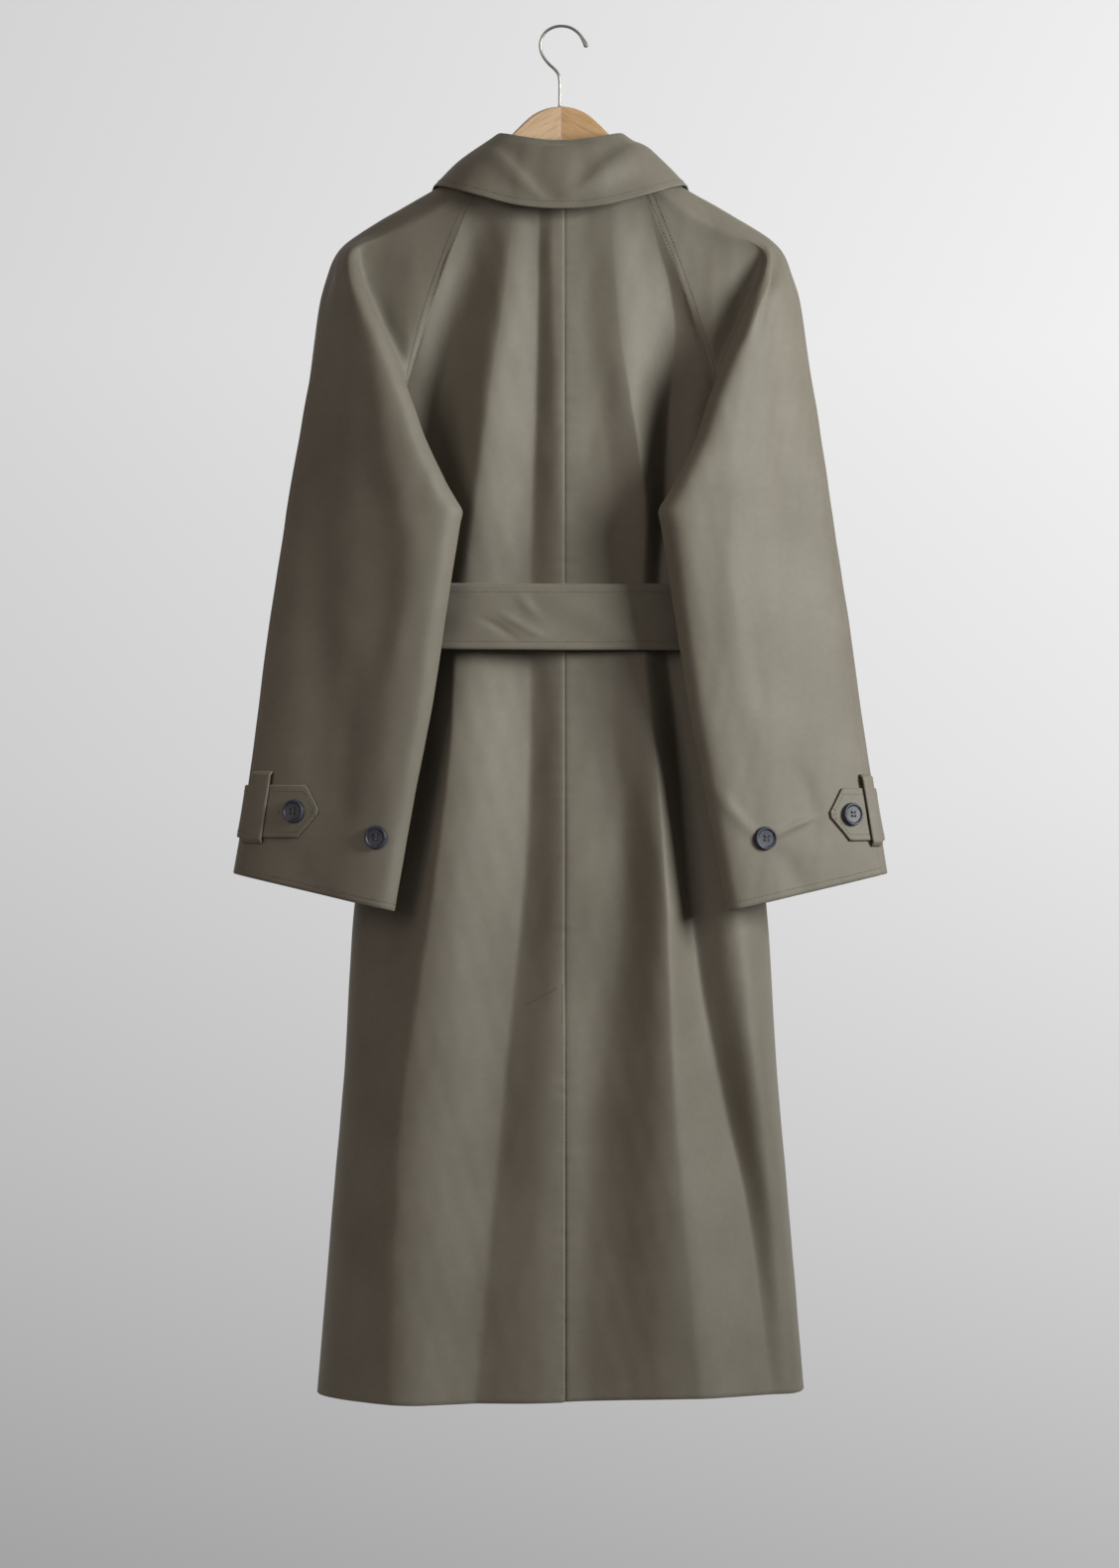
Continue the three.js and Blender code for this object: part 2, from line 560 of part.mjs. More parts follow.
function sleeveHalf(side, spans, counts) {
  const columns = stepsBetween(spans, counts);
  return clothPanel((s, v) => sleevePoint(side, s, v), columns, SLEEVE_ROWS, CLOTH, side);
}
const SEAM_SHARE = 0.01; // half the shoulder seam's gap, in control points
for (const [word, side] of [['left', -1], ['right', 1]]) {
  const backSpans = [0, 1, 2, 3, 4, 5, 6, SHOULDER_SEAM_SPAN - SEAM_SHARE];
  const back = sleeveHalf(side, backSpans, [1, 1, 2, 2, 2, 3, 3]);
  const frontSpans = [SHOULDER_SEAM_SPAN + SEAM_SHARE, 8, 9, 10, LAST_SPAN];
  const front = sleeveHalf(side, frontSpans, [1, 2, 3, 3]);
  addPart(`sleeve_${word}_back`, back, materials.cloth);
  addPart(`sleeve_${word}_front`, front, materials.cloth);
}

// Collar: the stand rises from the neck seam to the roll line, the fall turns over it and
// lies out on the shoulders.
const COLLAR_END = 176;
const ROLL_RADIUS = 4.5;
const FALL_BELLY = 5;
function collarPoint(angle, v) {
  const turn = Math.abs(angle);
  const side = angle < 0 ? -1 : 1;
  const at = (column) => readTable(COLLAR_GUIDES, 'angle', column, turn);
  const neck = neckPoint(turn);
  const fold = point(at('foldX'), at('foldY'), at('foldZ'));
  const leaf = point(at('leafX'), at('leafY'), at('leafZ'));
  const out = point(Math.sin(radians(turn)), -Math.cos(radians(turn)), 0);
  neck.addScaledVector(out, -CLOTH).setZ(neck.z + SEAM_GAP + 0.6);
  const inside = fold.clone().addScaledVector(out, -ROLL_RADIUS * 0.9).setZ(fold.z - ROLL_RADIUS);
  const outside = fold.clone().lerp(leaf, 0.12).addScaledVector(out, ROLL_RADIUS * 0.6);
  const belly = fold.clone().lerp(leaf, 0.55).addScaledVector(out, FALL_BELLY);
  belly.setZ(mix(fold.z, leaf.z, 0.52));
  const controls = [neck, inside, fold, outside, belly, leaf];
  const span = limited(Math.floor(v), 0, controls.length - 2);
  const p = curvePoint(controls, span, v - span);
  p.x *= side;
  return p;
}
const collarAcross = steps(30).map((share) => mix(-COLLAR_END, COLLAR_END, share));
const collarDown = stepsBetween([0, 1, 2, 3, 4, 5], [1, 1, 1, 2, 2]);
addPart('collar', clothPanel(collarPoint, collarAcross, collarDown, CLOTH, 1), materials.cloth);

// Belt: a flat ring that bridges the folds, tied at the centre front.
const BELT_CLEAR = 1.2;
const BELT_REACH = 13; // how far the folds push the belt out at the back
function beltPoint(angle, v) {
  const facing = Math.max(Math.cos(radians(angle)), 0);
  const across = Math.sin(radians(angle));
  const z = mix(BELT_TOP_Z, BELT_TOP_Z - BELT_WIDTH, v) - 2.5 * facing;
  const half = readTable(BODY_RINGS, 'z', 'half', z) + BELT_CLOTH + BELT_CLEAR;
  const depth = facing > 0
    ? readTable(BODY_RINGS, 'z', 'back', z) + BELT_REACH * facing ** 0.6
    : readTable(BODY_RINGS, 'z', 'front', z) + 6.4;
  const reach = (depth + BELT_CLOTH + BELT_CLEAR) * (1 + BODY_SQUARE * across * across);
  const y = -reach * Math.cos(radians(angle));
  return point(half * across, y, z);
}
const BELT_COLUMNS = 56;
const beltAngles = Array.from({ length: BELT_COLUMNS }, (_, i) => -180 + (360 * i) / BELT_COLUMNS);
const beltRing = wall(
  BELT_COLUMNS,
  2,
  (i, j) => beltPoint(beltAngles[i], j / 2),
  (i) => {
    const angle = beltAngles[i];
    const along = beltPoint(angle + 0.5, 0.5).sub(beltPoint(angle - 0.5, 0.5));
    return point(-along.y, along.x, 0).normalize().multiplyScalar(BELT_CLOTH);
  },
  true,
);
addPart('belt', beltRing, materials.cloth);

// A closed solid through rings of points, with a flat fan at each end.
function loft(rings) {
  const count = rings[0].length;
  const vertices = [];
  const faces = [];
  for (const ring of rings) for (const p of ring) vertices.push(p.x, p.y, p.z);
  for (let j = 0; j + 1 < rings.length; j += 1) {
    for (let i = 0; i < count; i += 1) {
      const a = j * count + i;
      const b = j * count + ((i + 1) % count);
      faces.push(a, b, b + count, a, b + count, a + count);
    }
  }
  const ends = [[rings[0], 0, true], [rings.at(-1), (rings.length - 1) * count, false]];
  for (const [ring, start, turned] of ends) {
    const middle = ring.reduce((sum, p) => sum.add(p), point(0, 0, 0)).divideScalar(count);
    const centre = vertices.length / 3;
    vertices.push(middle.x, middle.y, middle.z);
    for (let i = 0; i < count; i += 1) {
      const a = start + i;
      const b = start + ((i + 1) % count);
      faces.push(centre, turned ? b : a, turned ? a : b);
    }
  }
  const geometry = new THREE.BufferGeometry();
  geometry.setAttribute('position', new THREE.Float32BufferAttribute(vertices, 3));
  geometry.setIndex(faces);
  return outwards(geometry);
}

// The tie at the centre front: a knot with the belt's two ends hanging from it.
const KNOT = { halfWidth: 25, halfHeight: 29, depth: 15, backY: 49.2, z: -565 };
const BELT_ENDS = [
  { topX: -22, lean: -46, length: 262, topWidth: 36 },
  { topX: 22, lean: 34, length: 300, topWidth: 36 },
];
const END_LIFT = 4.5; // the ends hang over the front's edge and buttons
const frontY = (x, z) => bodyPoint(180 - angleAt(x, z), z).y + LAP_LIFT;

function knot() {
  const rings = steps(6).map((share) => {
    const height = Math.cos(Math.PI * share);
    const girth = Math.max(1 - height ** 4, 0.12) ** 0.5;
    return steps(15).slice(0, 15).map((turn) => {
      const a = 2 * Math.PI * turn;
      const round = Math.sign(Math.cos(a)) * Math.abs(Math.cos(a)) ** 0.7;
      const proud = Math.max(Math.sin(a), -0.25) / 1.25 + 0.2;
      const x = KNOT.halfWidth * girth * round;
      return point(x, KNOT.backY + KNOT.depth * girth * proud, KNOT.z + KNOT.halfHeight * height);
    });
  });
  return loft(rings);
}
addPart('belt_knot', knot(), materials.cloth);

function beltEnd({ topX, lean, length, topWidth }) {
  const topZ = KNOT.z - KNOT.halfHeight - 0.4;
  const surface = (u, v) => {
    const z = topZ - length * v;
    const width = mix(topWidth, BELT_WIDTH, smooth(0, 0.35, v));
    const x = topX + lean * ease(Math.min(v * 1.6, 1)) + (u - 0.5) * width;
    const overBelt = smooth(0.28, 0, v) * 9;
    const pleat = 3.5 * Math.cos(2 * Math.PI * (u - 0.5)) * smooth(0.5, 0, v);
    return point(x, frontY(x, z) + BELT_CLOTH + END_LIFT + overBelt + pleat, z);
  };
  return clothPanel(surface, steps(6), steps(8), BELT_CLOTH, -1);
}
addPart('belt_end_left', beltEnd(BELT_ENDS[0]), materials.cloth);
addPart('belt_end_right', beltEnd(BELT_ENDS[1]), materials.cloth);

// Places on the outside of a sleeve: the height along the sleeve, the place round it for a
// given x, and the direction off the cloth.
function sleeveShareAt(s, z) {
  const top = sleevePoint(1, s, 0).z;
  return (z - top) / (sleevePoint(1, s, 1).z - top);
}
function sleeveRoundAt(x, z) {
  let low = 5;
  let high = 8;
  for (let i = 0; i < 30; i += 1) {
    const middle = (low + high) / 2;
    if (sleevePoint(1, middle, sleeveShareAt(middle, z)).x < x) low = middle;
    else high = middle;
  }
  return low;
}
function offSleeve(side, s, z, lift) {
  const v = sleeveShareAt(s, z);
  const step = 1e-3;
  const du = sleevePoint(side, s + step, v).sub(sleevePoint(side, s - step, v));
  const dv = sleevePoint(side, s, v + step).sub(sleevePoint(side, s, v - step));
  const normal = du.cross(dv).normalize().multiplyScalar(-side);
  return { place: sleevePoint(side, s, v).addScaledVector(normal, lift), normal };
}

// Cuff straps, their loops and two buttons on each sleeve.
const STRAP_CLOTH = 2;
const STRAP_LIFT = 0.8; // from the sleeve to the underside of the strap
const STRAP_HALF = 24;
const CUFF_COLUMNS = ['word', 'side', 'z', 'tipX', 'cornerX', 'loopX', 'buttonX', 'spareX', 'spareZ'];
const CUFFS = table(CUFF_COLUMNS, [
  ['left', -1, -750, 229, 244, 283, 250, 173, -774],
  ['right', 1, -753, 255, 269, 295, 274, 192, -775],
]);
const STRAP_ROOT = 9.25; // the strap is sewn down on the wall side of the sleeve
const LOOP_HALF = 5.5;

function cuffStrap({ side, z, tipX, cornerX }) {
  const tip = sleeveRoundAt(tipX, z);
  const corner = sleeveRoundAt(cornerX, z);
  const surface = (u, v) => {
    const s = u < 0.7 ? mix(STRAP_ROOT, corner, u / 0.7) : mix(corner, tip, (u - 0.7) / 0.3);
    const half = STRAP_HALF * mix(1, 0.1, limited((u - 0.7) / 0.3, 0, 1));
    return offSleeve(side, s, z + half * (1 - 2 * v), STRAP_LIFT + STRAP_CLOTH).place;
  };
  const columns = stepsBetween([0, 0.7, 1], [9, 2]);
  return clothPanel(surface, columns, steps(4), STRAP_CLOTH, -side);
}

function strapLoop({ side, z, loopX }) {
  const centre = sleeveRoundAt(loopX, z);
  const reach = STRAP_HALF + 10;
  const surface = (u, v) => {
    const height = z + 4 + reach * (1 - 2 * v);
    const span = Math.abs(1 - 2 * v);
    const over = (STRAP_CLOTH + 0.9) * smooth(1, 0.9, span);
    const x = loopX + (u - 0.5) * 2 * LOOP_HALF;
    const s = x > loopX ? mix(centre, centre + 0.3, (x - loopX) / 8) : sleeveRoundAt(x, z);
    return offSleeve(side, s, height, STRAP_LIFT + over + STRAP_CLOTH).place;
  };
  return clothPanel(surface, steps(2), stepsBetween([0, 0.1, 0.9, 1], [2, 4, 2]), STRAP_CLOTH, side);
}

function button() {
  const profile = [[0, 0], [0.75, 0], [1, 0.45], [0.9, 1], [0.74, 0.72], [0, 0.72]];
  const outline = profile.map(([r, h]) => new THREE.Vector2(r * BUTTON_RADIUS, h * BUTTON_HEIGHT));
  return new THREE.LatheGeometry(outline, 12).rotateX(Math.PI / 2);
}
function addButton(name, place, normal) {
  const mesh = addPart(name, button(), materials.button);
  mesh.position.copy(place);
  mesh.quaternion.setFromUnitVectors(point(0, 0, 1), normal);
}

const BUTTON_LIFT = 0.9; // room for the curve of the cloth under a flat button
const SPARE_LIFT = 0.7;
for (const cuff of CUFFS) {
  addPart(`cuff_strap_${cuff.word}`, cuffStrap(cuff), materials.cloth);
  addPart(`strap_loop_${cuff.word}`, strapLoop(cuff), materials.cloth);
  const strapTop = STRAP_LIFT + STRAP_CLOTH;
  const onStrap = offSleeve(cuff.side, sleeveRoundAt(cuff.buttonX, cuff.z), cuff.z, strapTop + BUTTON_LIFT);
  const spare = offSleeve(cuff.side, sleeveRoundAt(cuff.spareX, cuff.spareZ), cuff.spareZ, SPARE_LIFT);
  addButton(`cuff_button_${cuff.word}`, onStrap.place, onStrap.normal);
  addButton(`cuff_button_${cuff.word}_spare`, spare.place, spare.normal);
}

// Five buttons down the centre front.
const FRONT_BUTTONS_Z = [-300, -400, -500, -716, -826];
FRONT_BUTTONS_Z.forEach((z, i) => {
  addButton(`front_button_${i + 1}`, point(0, frontY(0, z) + BUTTON_LIFT * 0.6, z), point(0, 1, 0));
});

// Wooden hanger: two arms jointed in the middle, under the shoulders.
const HANGER_STATIONS = table(['x', 'top', 'bottom', 'y'], [
  [0.15, -76, -117, -4], [14, -78.5, -119, -4], [28, -85.5, -125, -4], [47, -103.5, -141, -4],
  [80, -137, -170, -5], [115, -160, -191, -5], [150, -181, -208, -5], [182, -200, -222, -5],
  [195, -209, -225, -5],
]);
const WOOD_EDGE = 4; // radius of the board's long edges
function hangerArm(side) {
  const rings = HANGER_STATIONS.map(({ x, top, bottom, y }) => {
    const half = WOOD_THICK / 2;
    const corners = [[half, top, 0], [-half, top, 90], [-half, bottom, 180], [half, bottom, 270]];
    return corners.flatMap(([dy, z, from]) =>
      [0, 45, 90].map((turn) => {
        const a = radians(from + turn);
        const centreY = dy - Math.sign(dy) * WOOD_EDGE;
        const centreZ = z + (z === top ? -WOOD_EDGE : WOOD_EDGE);
        return point(side * x, y + centreY + WOOD_EDGE * Math.cos(a), centreZ + WOOD_EDGE * Math.sin(a));
      }));
  });
  return loft(rings);
}
addPart('hanger_arm_left', hangerArm(-1), materials.wood);
addPart('hanger_arm_right', hangerArm(1), materials.wood);

// Wire hook: a short stem, a lean to the left, then an open bow over the rail, thicker
// towards its tip. x and z are on the wire's middle line.
const HOOK_PATH = table(['x', 'z'], [
  [-0.8, -75.6], [-1.6, -46], [-4.6, -41], [-12.2, -33.6], [-17.2, -26.4], [-19.4, -18.9], [-18.4, -11],
  [-13.8, -3.8], [-6.2, 0.5], [1.5, 1.5], [9.8, -0.2], [17, -5.2], [22, -12.2], [25.2, -18.9],
]);
function hook() {
  const path = HOOK_PATH.map(({ x, z }) => point(x, 0, z));
  const curve = new THREE.CatmullRomCurve3(path, false, 'centripetal');
  const rings = steps(26).map((share) => {
    const centre = curve.getPoint(share);
    const along = curve.getTangent(share);
    const across = point(along.z, 0, -along.x);
    const radius = WIRE_RADIUS * mix(1, 1.7, smooth(0.85, 1, share));
    return steps(7).slice(0, 7).map((turn) => {
      const a = 2 * Math.PI * turn;
      const rise = point(0, radius * Math.sin(a), 0);
      return centre.clone().addScaledVector(across, radius * Math.cos(a)).add(rise);
    });
  });
  return loft(rings);
}
addPart('hanger_hook', hook(), materials.wire);

export default parts;
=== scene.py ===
"""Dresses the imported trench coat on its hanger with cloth, stitching, buttons, wood and wire.

Lengths are in millimetres until a mesh is made. +X is the viewer's right, -Y is towards the
viewer of the coat's back and +Z is up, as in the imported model.
"""

import logging
import math
from collections.abc import Sequence
from dataclasses import dataclass, field
from enum import Enum
from typing import NamedTuple

import bpy
import numpy as np
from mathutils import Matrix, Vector


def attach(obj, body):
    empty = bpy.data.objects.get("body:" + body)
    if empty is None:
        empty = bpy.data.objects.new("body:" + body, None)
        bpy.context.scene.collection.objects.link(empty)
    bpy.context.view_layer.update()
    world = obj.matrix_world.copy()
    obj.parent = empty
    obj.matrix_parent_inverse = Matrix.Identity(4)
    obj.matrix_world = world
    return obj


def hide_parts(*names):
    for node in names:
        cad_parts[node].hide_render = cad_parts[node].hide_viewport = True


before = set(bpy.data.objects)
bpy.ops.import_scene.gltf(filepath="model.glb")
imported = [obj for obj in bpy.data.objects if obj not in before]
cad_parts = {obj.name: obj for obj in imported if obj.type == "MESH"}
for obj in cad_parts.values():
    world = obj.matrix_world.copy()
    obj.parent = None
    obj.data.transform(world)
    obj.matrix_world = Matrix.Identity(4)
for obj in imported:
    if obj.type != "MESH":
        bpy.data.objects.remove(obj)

Array = np.ndarray
MM = 0.001
ROOT = "root"
LOG = logging.getLogger("trench_coat")


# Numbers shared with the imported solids

CLOTH = 1.8
HEM_Z = -1305.0
ARMPIT_Z = -480.0
CENTRE_BACK_X = 4.0
VENT_TOP_Z = -914.0
VENT_LAP = 42.0
BELT_TOP_Z = -534.0
BELT_WIDTH = 60.0
BELT_CLOTH = 3.0
FRONT_LAP = 32.0
LAP_LIFT = 2.5
SEAM = 0.04


class Side(Enum):
    """The viewer's left and right; the value is the sign of X."""

    LEFT = -1
    RIGHT = 1

    @property
    def word(self) -> str:
        """The side's name in piece names."""
        return self.name.lower()


class Ring(NamedTuple):
    """One ring of the coat's body: half width and the depths of its back and front."""

    z: float
    half: float
    back: float
    front: float


class Crease(NamedTuple):
    """One row of a fold: its line at z, how far it stands out, and the width of each flank."""

    z: float
    x: float
    rise: float
    left: float
    right: float


class Pleat(NamedTuple):
    """One point of a line down the back, ridge or hollow: its x at z and its height."""

    z: float
    x: float
    height: float


class SleeveRow(NamedTuple):
    """One section of the right sleeve, going round from the raglan seam."""

    z: float
    foot: float
    foot_y: float
    edge: float
    edge_y: float
    nose: float
    nose_y: float
    bulge: float
    outer: float
    outer_y: float
    wall_y: float
    under: float
    under_y: float


class CollarRow(NamedTuple):
    """Roll line and outer edge of the collar at an angle round the neck."""

    angle: float
    fold_x: float
    fold_y: float
    fold_z: float
    leaf_x: float
    leaf_y: float
    leaf_z: float


BODY_RINGS = (
    Ring(-120, 186, 44, 24), Ring(-200, 205, 52, 30), Ring(-260, 205, 56, 33),
    Ring(-340, 198, 58, 36), Ring(-420, 188, 58, 38), Ring(-480, 180, 57, 38),
    Ring(-534, 171, 56, 38), Ring(-594, 170, 57, 38), Ring(-700, 181, 62, 40),
    Ring(-850, 198, 70, 42), Ring(-1000, 207, 78, 44), Ring(-1150, 220, 86, 46),
    Ring(HEM_Z, 233, 94, 48),
)
HEM_LINE = ((-233, 0), (-132, 3), (0, 0), (126, -5), (233, -4))
RAGLAN_SEAM = (
    (-120, 21), (-168, 25), (-215, 30), (-293, 40), (-340, 47),
    (-380, 54), (-430, 65), (-460, 76), (ARMPIT_Z, 90),
)
BACK_PLEATS = {
    "left_foot": (
        Pleat(-152, -107, 0), Pleat(-178, -107, 0), Pleat(-249, -124, 0), Pleat(-353, -153, -7),
        Pleat(-520, -147, 0), Pleat(-619, -151, -2), Pleat(-733, -164, 0), Pleat(-847, -195, 2),
        Pleat(-904, -204, 2), Pleat(-1018, -212, 1), Pleat(-1132, -216, 0), Pleat(-1305, -223, 0),
    ),
    "left_gully": (
        Pleat(-152, -78, 0), Pleat(-178, -78, -4), Pleat(-249, -90, -13), Pleat(-296, -103, -18),
        Pleat(-353, -115, -21), Pleat(-410, -119, -20), Pleat(-520, -121, -7),
        Pleat(-562, -121, -5), Pleat(-619, -123, -13), Pleat(-676, -128, -16),
        Pleat(-733, -136, -16), Pleat(-904, -172, -3), Pleat(-1018, -185, 2), Pleat(-1132, -189, 3),
        Pleat(-1305, -195, 2),
    ),
    "left_crest": (
        Pleat(-152, -44, 0), Pleat(-249, -52, 8), Pleat(-353, -67, 20), Pleat(-410, -74, 22),
        Pleat(-467, -81, 19), Pleat(-520, -88, 10), Pleat(-562, -92, 7), Pleat(-600, -98, 8),
        Pleat(-629, -101, 15), Pleat(-676, -103, 23), Pleat(-733, -108, 26), Pleat(-904, -130, 23),
        Pleat(-1018, -148, 19), Pleat(-1132, -155, 15), Pleat(-1305, -161, 10),
    ),
    "left_trough": (
        Pleat(-152, -20, 0), Pleat(-178, -20, -2), Pleat(-353, -22, -3), Pleat(-467, -26, -4),
        Pleat(-520, -28, -4), Pleat(-676, -28, -7), Pleat(-790, -31, -9), Pleat(-961, -48, -13),
        Pleat(-1132, -64, -17), Pleat(-1305, -80, -18),
    ),
    "centre_ridge": (
        Pleat(-152, -7, 0), Pleat(-249, -6, 3), Pleat(-410, 1, 6), Pleat(-562, 3, 3),
        Pleat(-733, 7, 6), Pleat(-847, 7, 4), Pleat(-1018, -9, -3), Pleat(-1132, -12, -8),
        Pleat(-1305, -14, -9),
    ),
    "right_trough": (
        Pleat(-152, 19, 0), Pleat(-296, 29, 1), Pleat(-467, 47, 4), Pleat(-562, 48, 3),
        Pleat(-676, 48, 3), Pleat(-733, 54, 1), Pleat(-790, 60, -1), Pleat(-847, 60, -2),
        Pleat(-904, 50, -3), Pleat(-1075, 26, -9), Pleat(-1246, 18, -11), Pleat(-1305, 16, -11),
    ),
    "right_crest": (
        Pleat(-152, 45, 0), Pleat(-296, 56, 4), Pleat(-353, 65, 8), Pleat(-410, 74, 11),
        Pleat(-467, 81, 10), Pleat(-520, 79, 7), Pleat(-562, 78, 6), Pleat(-600, 80, 8),
        Pleat(-676, 87, 16), Pleat(-733, 93, 22), Pleat(-847, 101, 27), Pleat(-923, 103, 27),
        Pleat(-1018, 107, 26), Pleat(-1132, 116, 24), Pleat(-1305, 132, 18),
    ),
    "right_gully": (
        Pleat(-152, 80, 0), Pleat(-178, 84, -3), Pleat(-215, 93, -9), Pleat(-249, 103, -14),
        Pleat(-296, 109, -19), Pleat(-353, 104, -23), Pleat(-410, 100, -21), Pleat(-467, 98, -14),
        Pleat(-520, 94, -7), Pleat(-562, 95, -5), Pleat(-619, 103, -10), Pleat(-676, 110, -13),
        Pleat(-790, 119, -13), Pleat(-904, 132, -10), Pleat(-1018, 154, -8), Pleat(-1132, 178, -4),
        Pleat(-1305, 200, -2),
    ),
    "right_side": (
        Pleat(-152, 119, 0), Pleat(-178, 119, 0), Pleat(-249, 133, 0), Pleat(-296, 149, 0),
        Pleat(-353, 140, -5), Pleat(-410, 130, -3), Pleat(-520, 123, 2), Pleat(-562, 124, 2),
        Pleat(-676, 143, 4), Pleat(-790, 163, 16), Pleat(-904, 180, 30), Pleat(-1018, 197, 42),
        Pleat(-1132, 212, 36), Pleat(-1305, 230, 20),
    ),
}
# How far each of these lines is a crease and not a round, from 0 to 1
CREASED = {"left_crest": 0.15, "left_trough": 0.75, "right_crest": 0.3, "right_gully": 0.45}
FRONT_FOLDS = {
    "left": (
        Crease(-300, -96, 0, 26, 26), Crease(-520, -92, 4, 26, 26), Crease(-640, -96, 4, 26, 26),
        Crease(HEM_Z, -140, 12, 34, 34),
    ),
    "right": (
        Crease(-300, 100, 0, 26, 26), Crease(-520, 96, 4, 26, 26), Crease(-640, 100, 4, 26, 26),
        Crease(HEM_Z, 136, 11, 34, 34),
    ),
}
SLEEVE_ROWS = (
    SleeveRow(-120, 73, -30, 75, -27, 77, -23, 1, 84, -5, 8, 182, -8),
    SleeveRow(-150, 88, -41, 95, -37, 100, -32, 2, 114, -5, 16, 182, -8),
    SleeveRow(-175, 112, -44, 124, -39, 132, -34, 3, 154, -6, 22, 182, -8),
    SleeveRow(-200, 156, -41, 167, -38, 174, -33, 3, 196, -7, 26, 182, -8),
    SleeveRow(-216, 186, -38, 193, -41, 198, -41, 4, 212, -9, 28, 182, -8),
    SleeveRow(-240, 187, -38, 193, -54, 200, -57, 6, 222, -13, 30, 182, -8),
    SleeveRow(-265, 178, -42, 182, -66, 192, -74, 8, 229, -17, 31, 182, -8),
    SleeveRow(-328, 151, -54, 153, -80, 166, -93, 12, 238, -22, 30, 182, -8),
    SleeveRow(-372, 147, -66, 136, -89, 148, -103, 14, 245, -24, 26, 182, -8),
    SleeveRow(-400, 139, -72, 126, -93, 139, -108, 15, 249, -25, 22, 182, -8),
    SleeveRow(-439, 123, -80, 108, -98, 122, -113, 16, 255, -26, 14, 182, -8),
    SleeveRow(-457, 114, -82, 98, -99, 113, -114, 16, 257.6, -26, 10.5, 182, -8),
    SleeveRow(-468, 110, -83, 92, -99.5, 108, -114.6, 16, 259.2, -26, 8.3, 182, -6),
    SleeveRow(ARMPIT_Z, 110, -84, 94, -100, 109, -115, 16, 261, -26, 6, 181, -3),
    SleeveRow(-530, 117, -82, 102, -99, 116, -114, 16, 269, -26, -8, 188, -34),
    SleeveRow(-590, 126, -82, 111, -98, 124, -112, 15, 278, -27, -11, 190, -44),
    SleeveRow(-660, 138, -81, 122, -98, 134, -110, 14, 287, -28, -13, 200, -46),
    SleeveRow(-733, 152, -80, 136, -97, 148, -108, 12, 298, -30, -15, 210, -48),
    SleeveRow(-810, 166, -78, 150, -95, 162, -106, 10, 311, -33, -17, 222, -48),
    SleeveRow(-850, 173, -76, 157, -93, 169, -104, 10, 318, -35, -18, 228, -48),
)
COLLAR_ROWS = (
    CollarRow(0, 0, -45, -113, 0, -74, -180), CollarRow(12, 12.5, -44.9, -112.6, 19, -73.9, -179.5),
    CollarRow(30, 31, -43, -110, 46, -72.5, -176),
    CollarRow(60, 52, -30, -105, 90, -62, -163), CollarRow(78, 58, -14, -103, 113, -36, -154.5),
    CollarRow(92, 58, -1, -105, 122, -5, -153.5), CollarRow(115, 53, 18, -116, 124, 31, -178),
    CollarRow(145, 36, 32, -143, 96, 39, -224), CollarRow(176, 5, 40, -174, 64, 41, -268),
)

# Small folds that only the cloth surfaces carry, in the photograph's plane
SLEEVE_FOLDS = {
    Side.RIGHT: (
        (Crease(-205, 190, 0, 8, 7), Crease(-232, 176, -5, 9, 8), Crease(-275, 166, -5, 10, 9),
         Crease(-320, 152, 0, 12, 12)),
        (Crease(-205, 208, 0, 6, 6), Crease(-235, 203, -4, 7, 6), Crease(-280, 192, -4, 9, 8),
         Crease(-330, 178, 0, 12, 10)),
        (Crease(-250, 202, 0, 14, 10), Crease(-353, 208, -2.2, 18, 14),
         Crease(-467, 224, -3.4, 22, 18),
         Crease(-560, 226, -3.4, 22, 18), Crease(-676, 232, -3.4, 20, 18),
         Crease(-780, 238, -1, 18, 18)),
        (Crease(-500, 156, 0, 14, 10), Crease(-560, 164, 1.6, 16, 9), Crease(-640, 176, 1.8, 16, 9),
         Crease(-700, 188, 0, 14, 10)),
        (Crease(-700, 224, 0, 8, 8), Crease(-735, 236, -2.4, 9, 8), Crease(-765, 240, -1.8, 9, 8),
         Crease(-790, 240, 0, 8, 8)),
        (Crease(-725, 148, 0, 7, 8), Crease(-748, 160, 2.0, 8, 7), Crease(-768, 178, 1.2, 8, 6),
         Crease(-776, 186, 0, 6, 6)),
        (Crease(-752, 244, 0, 5, 6), Crease(-760, 228, 2.4, 8, 6), Crease(-771, 206, 1.4, 8, 6),
         Crease(-778, 196, 0, 6, 6)),
        (Crease(-780, 206, 0, 9, 9), Crease(-800, 216, -1.8, 14, 10),
         Crease(-825, 226, -1.2, 14, 12), Crease(-845, 232, 0, 12, 12)),
    ),
    Side.LEFT: (
        (Crease(-230, -206, 0, 10, 10), Crease(-270, -214, -2.5, 14, 12),
         Crease(-448, -226, -3.5, 22, 18),
         Crease(-580, -224, -3.5, 22, 18), Crease(-733, -222, -2.5, 22, 18),
         Crease(-790, -222, 0, 18, 16)),
        (Crease(-250, -232, 0, 10, 30), Crease(-360, -246, 5, 12, 44),
         Crease(-560, -268, 6, 14, 52),
         Crease(-740, -290, 5, 14, 50), Crease(-840, -304, 2, 12, 40)),
        (Crease(-260, -176, 0, 12, 12), Crease(-380, -166, 2.5, 14, 16),
         Crease(-520, -140, 3, 16, 18),
         Crease(-640, -160, 3, 16, 18), Crease(-780, -172, 0, 16, 18)),
        (Crease(-600, -196, 0, 14, 12), Crease(-690, -200, -2.5, 14, 12),
         Crease(-790, -210, 0, 16, 12)),
    ),
}
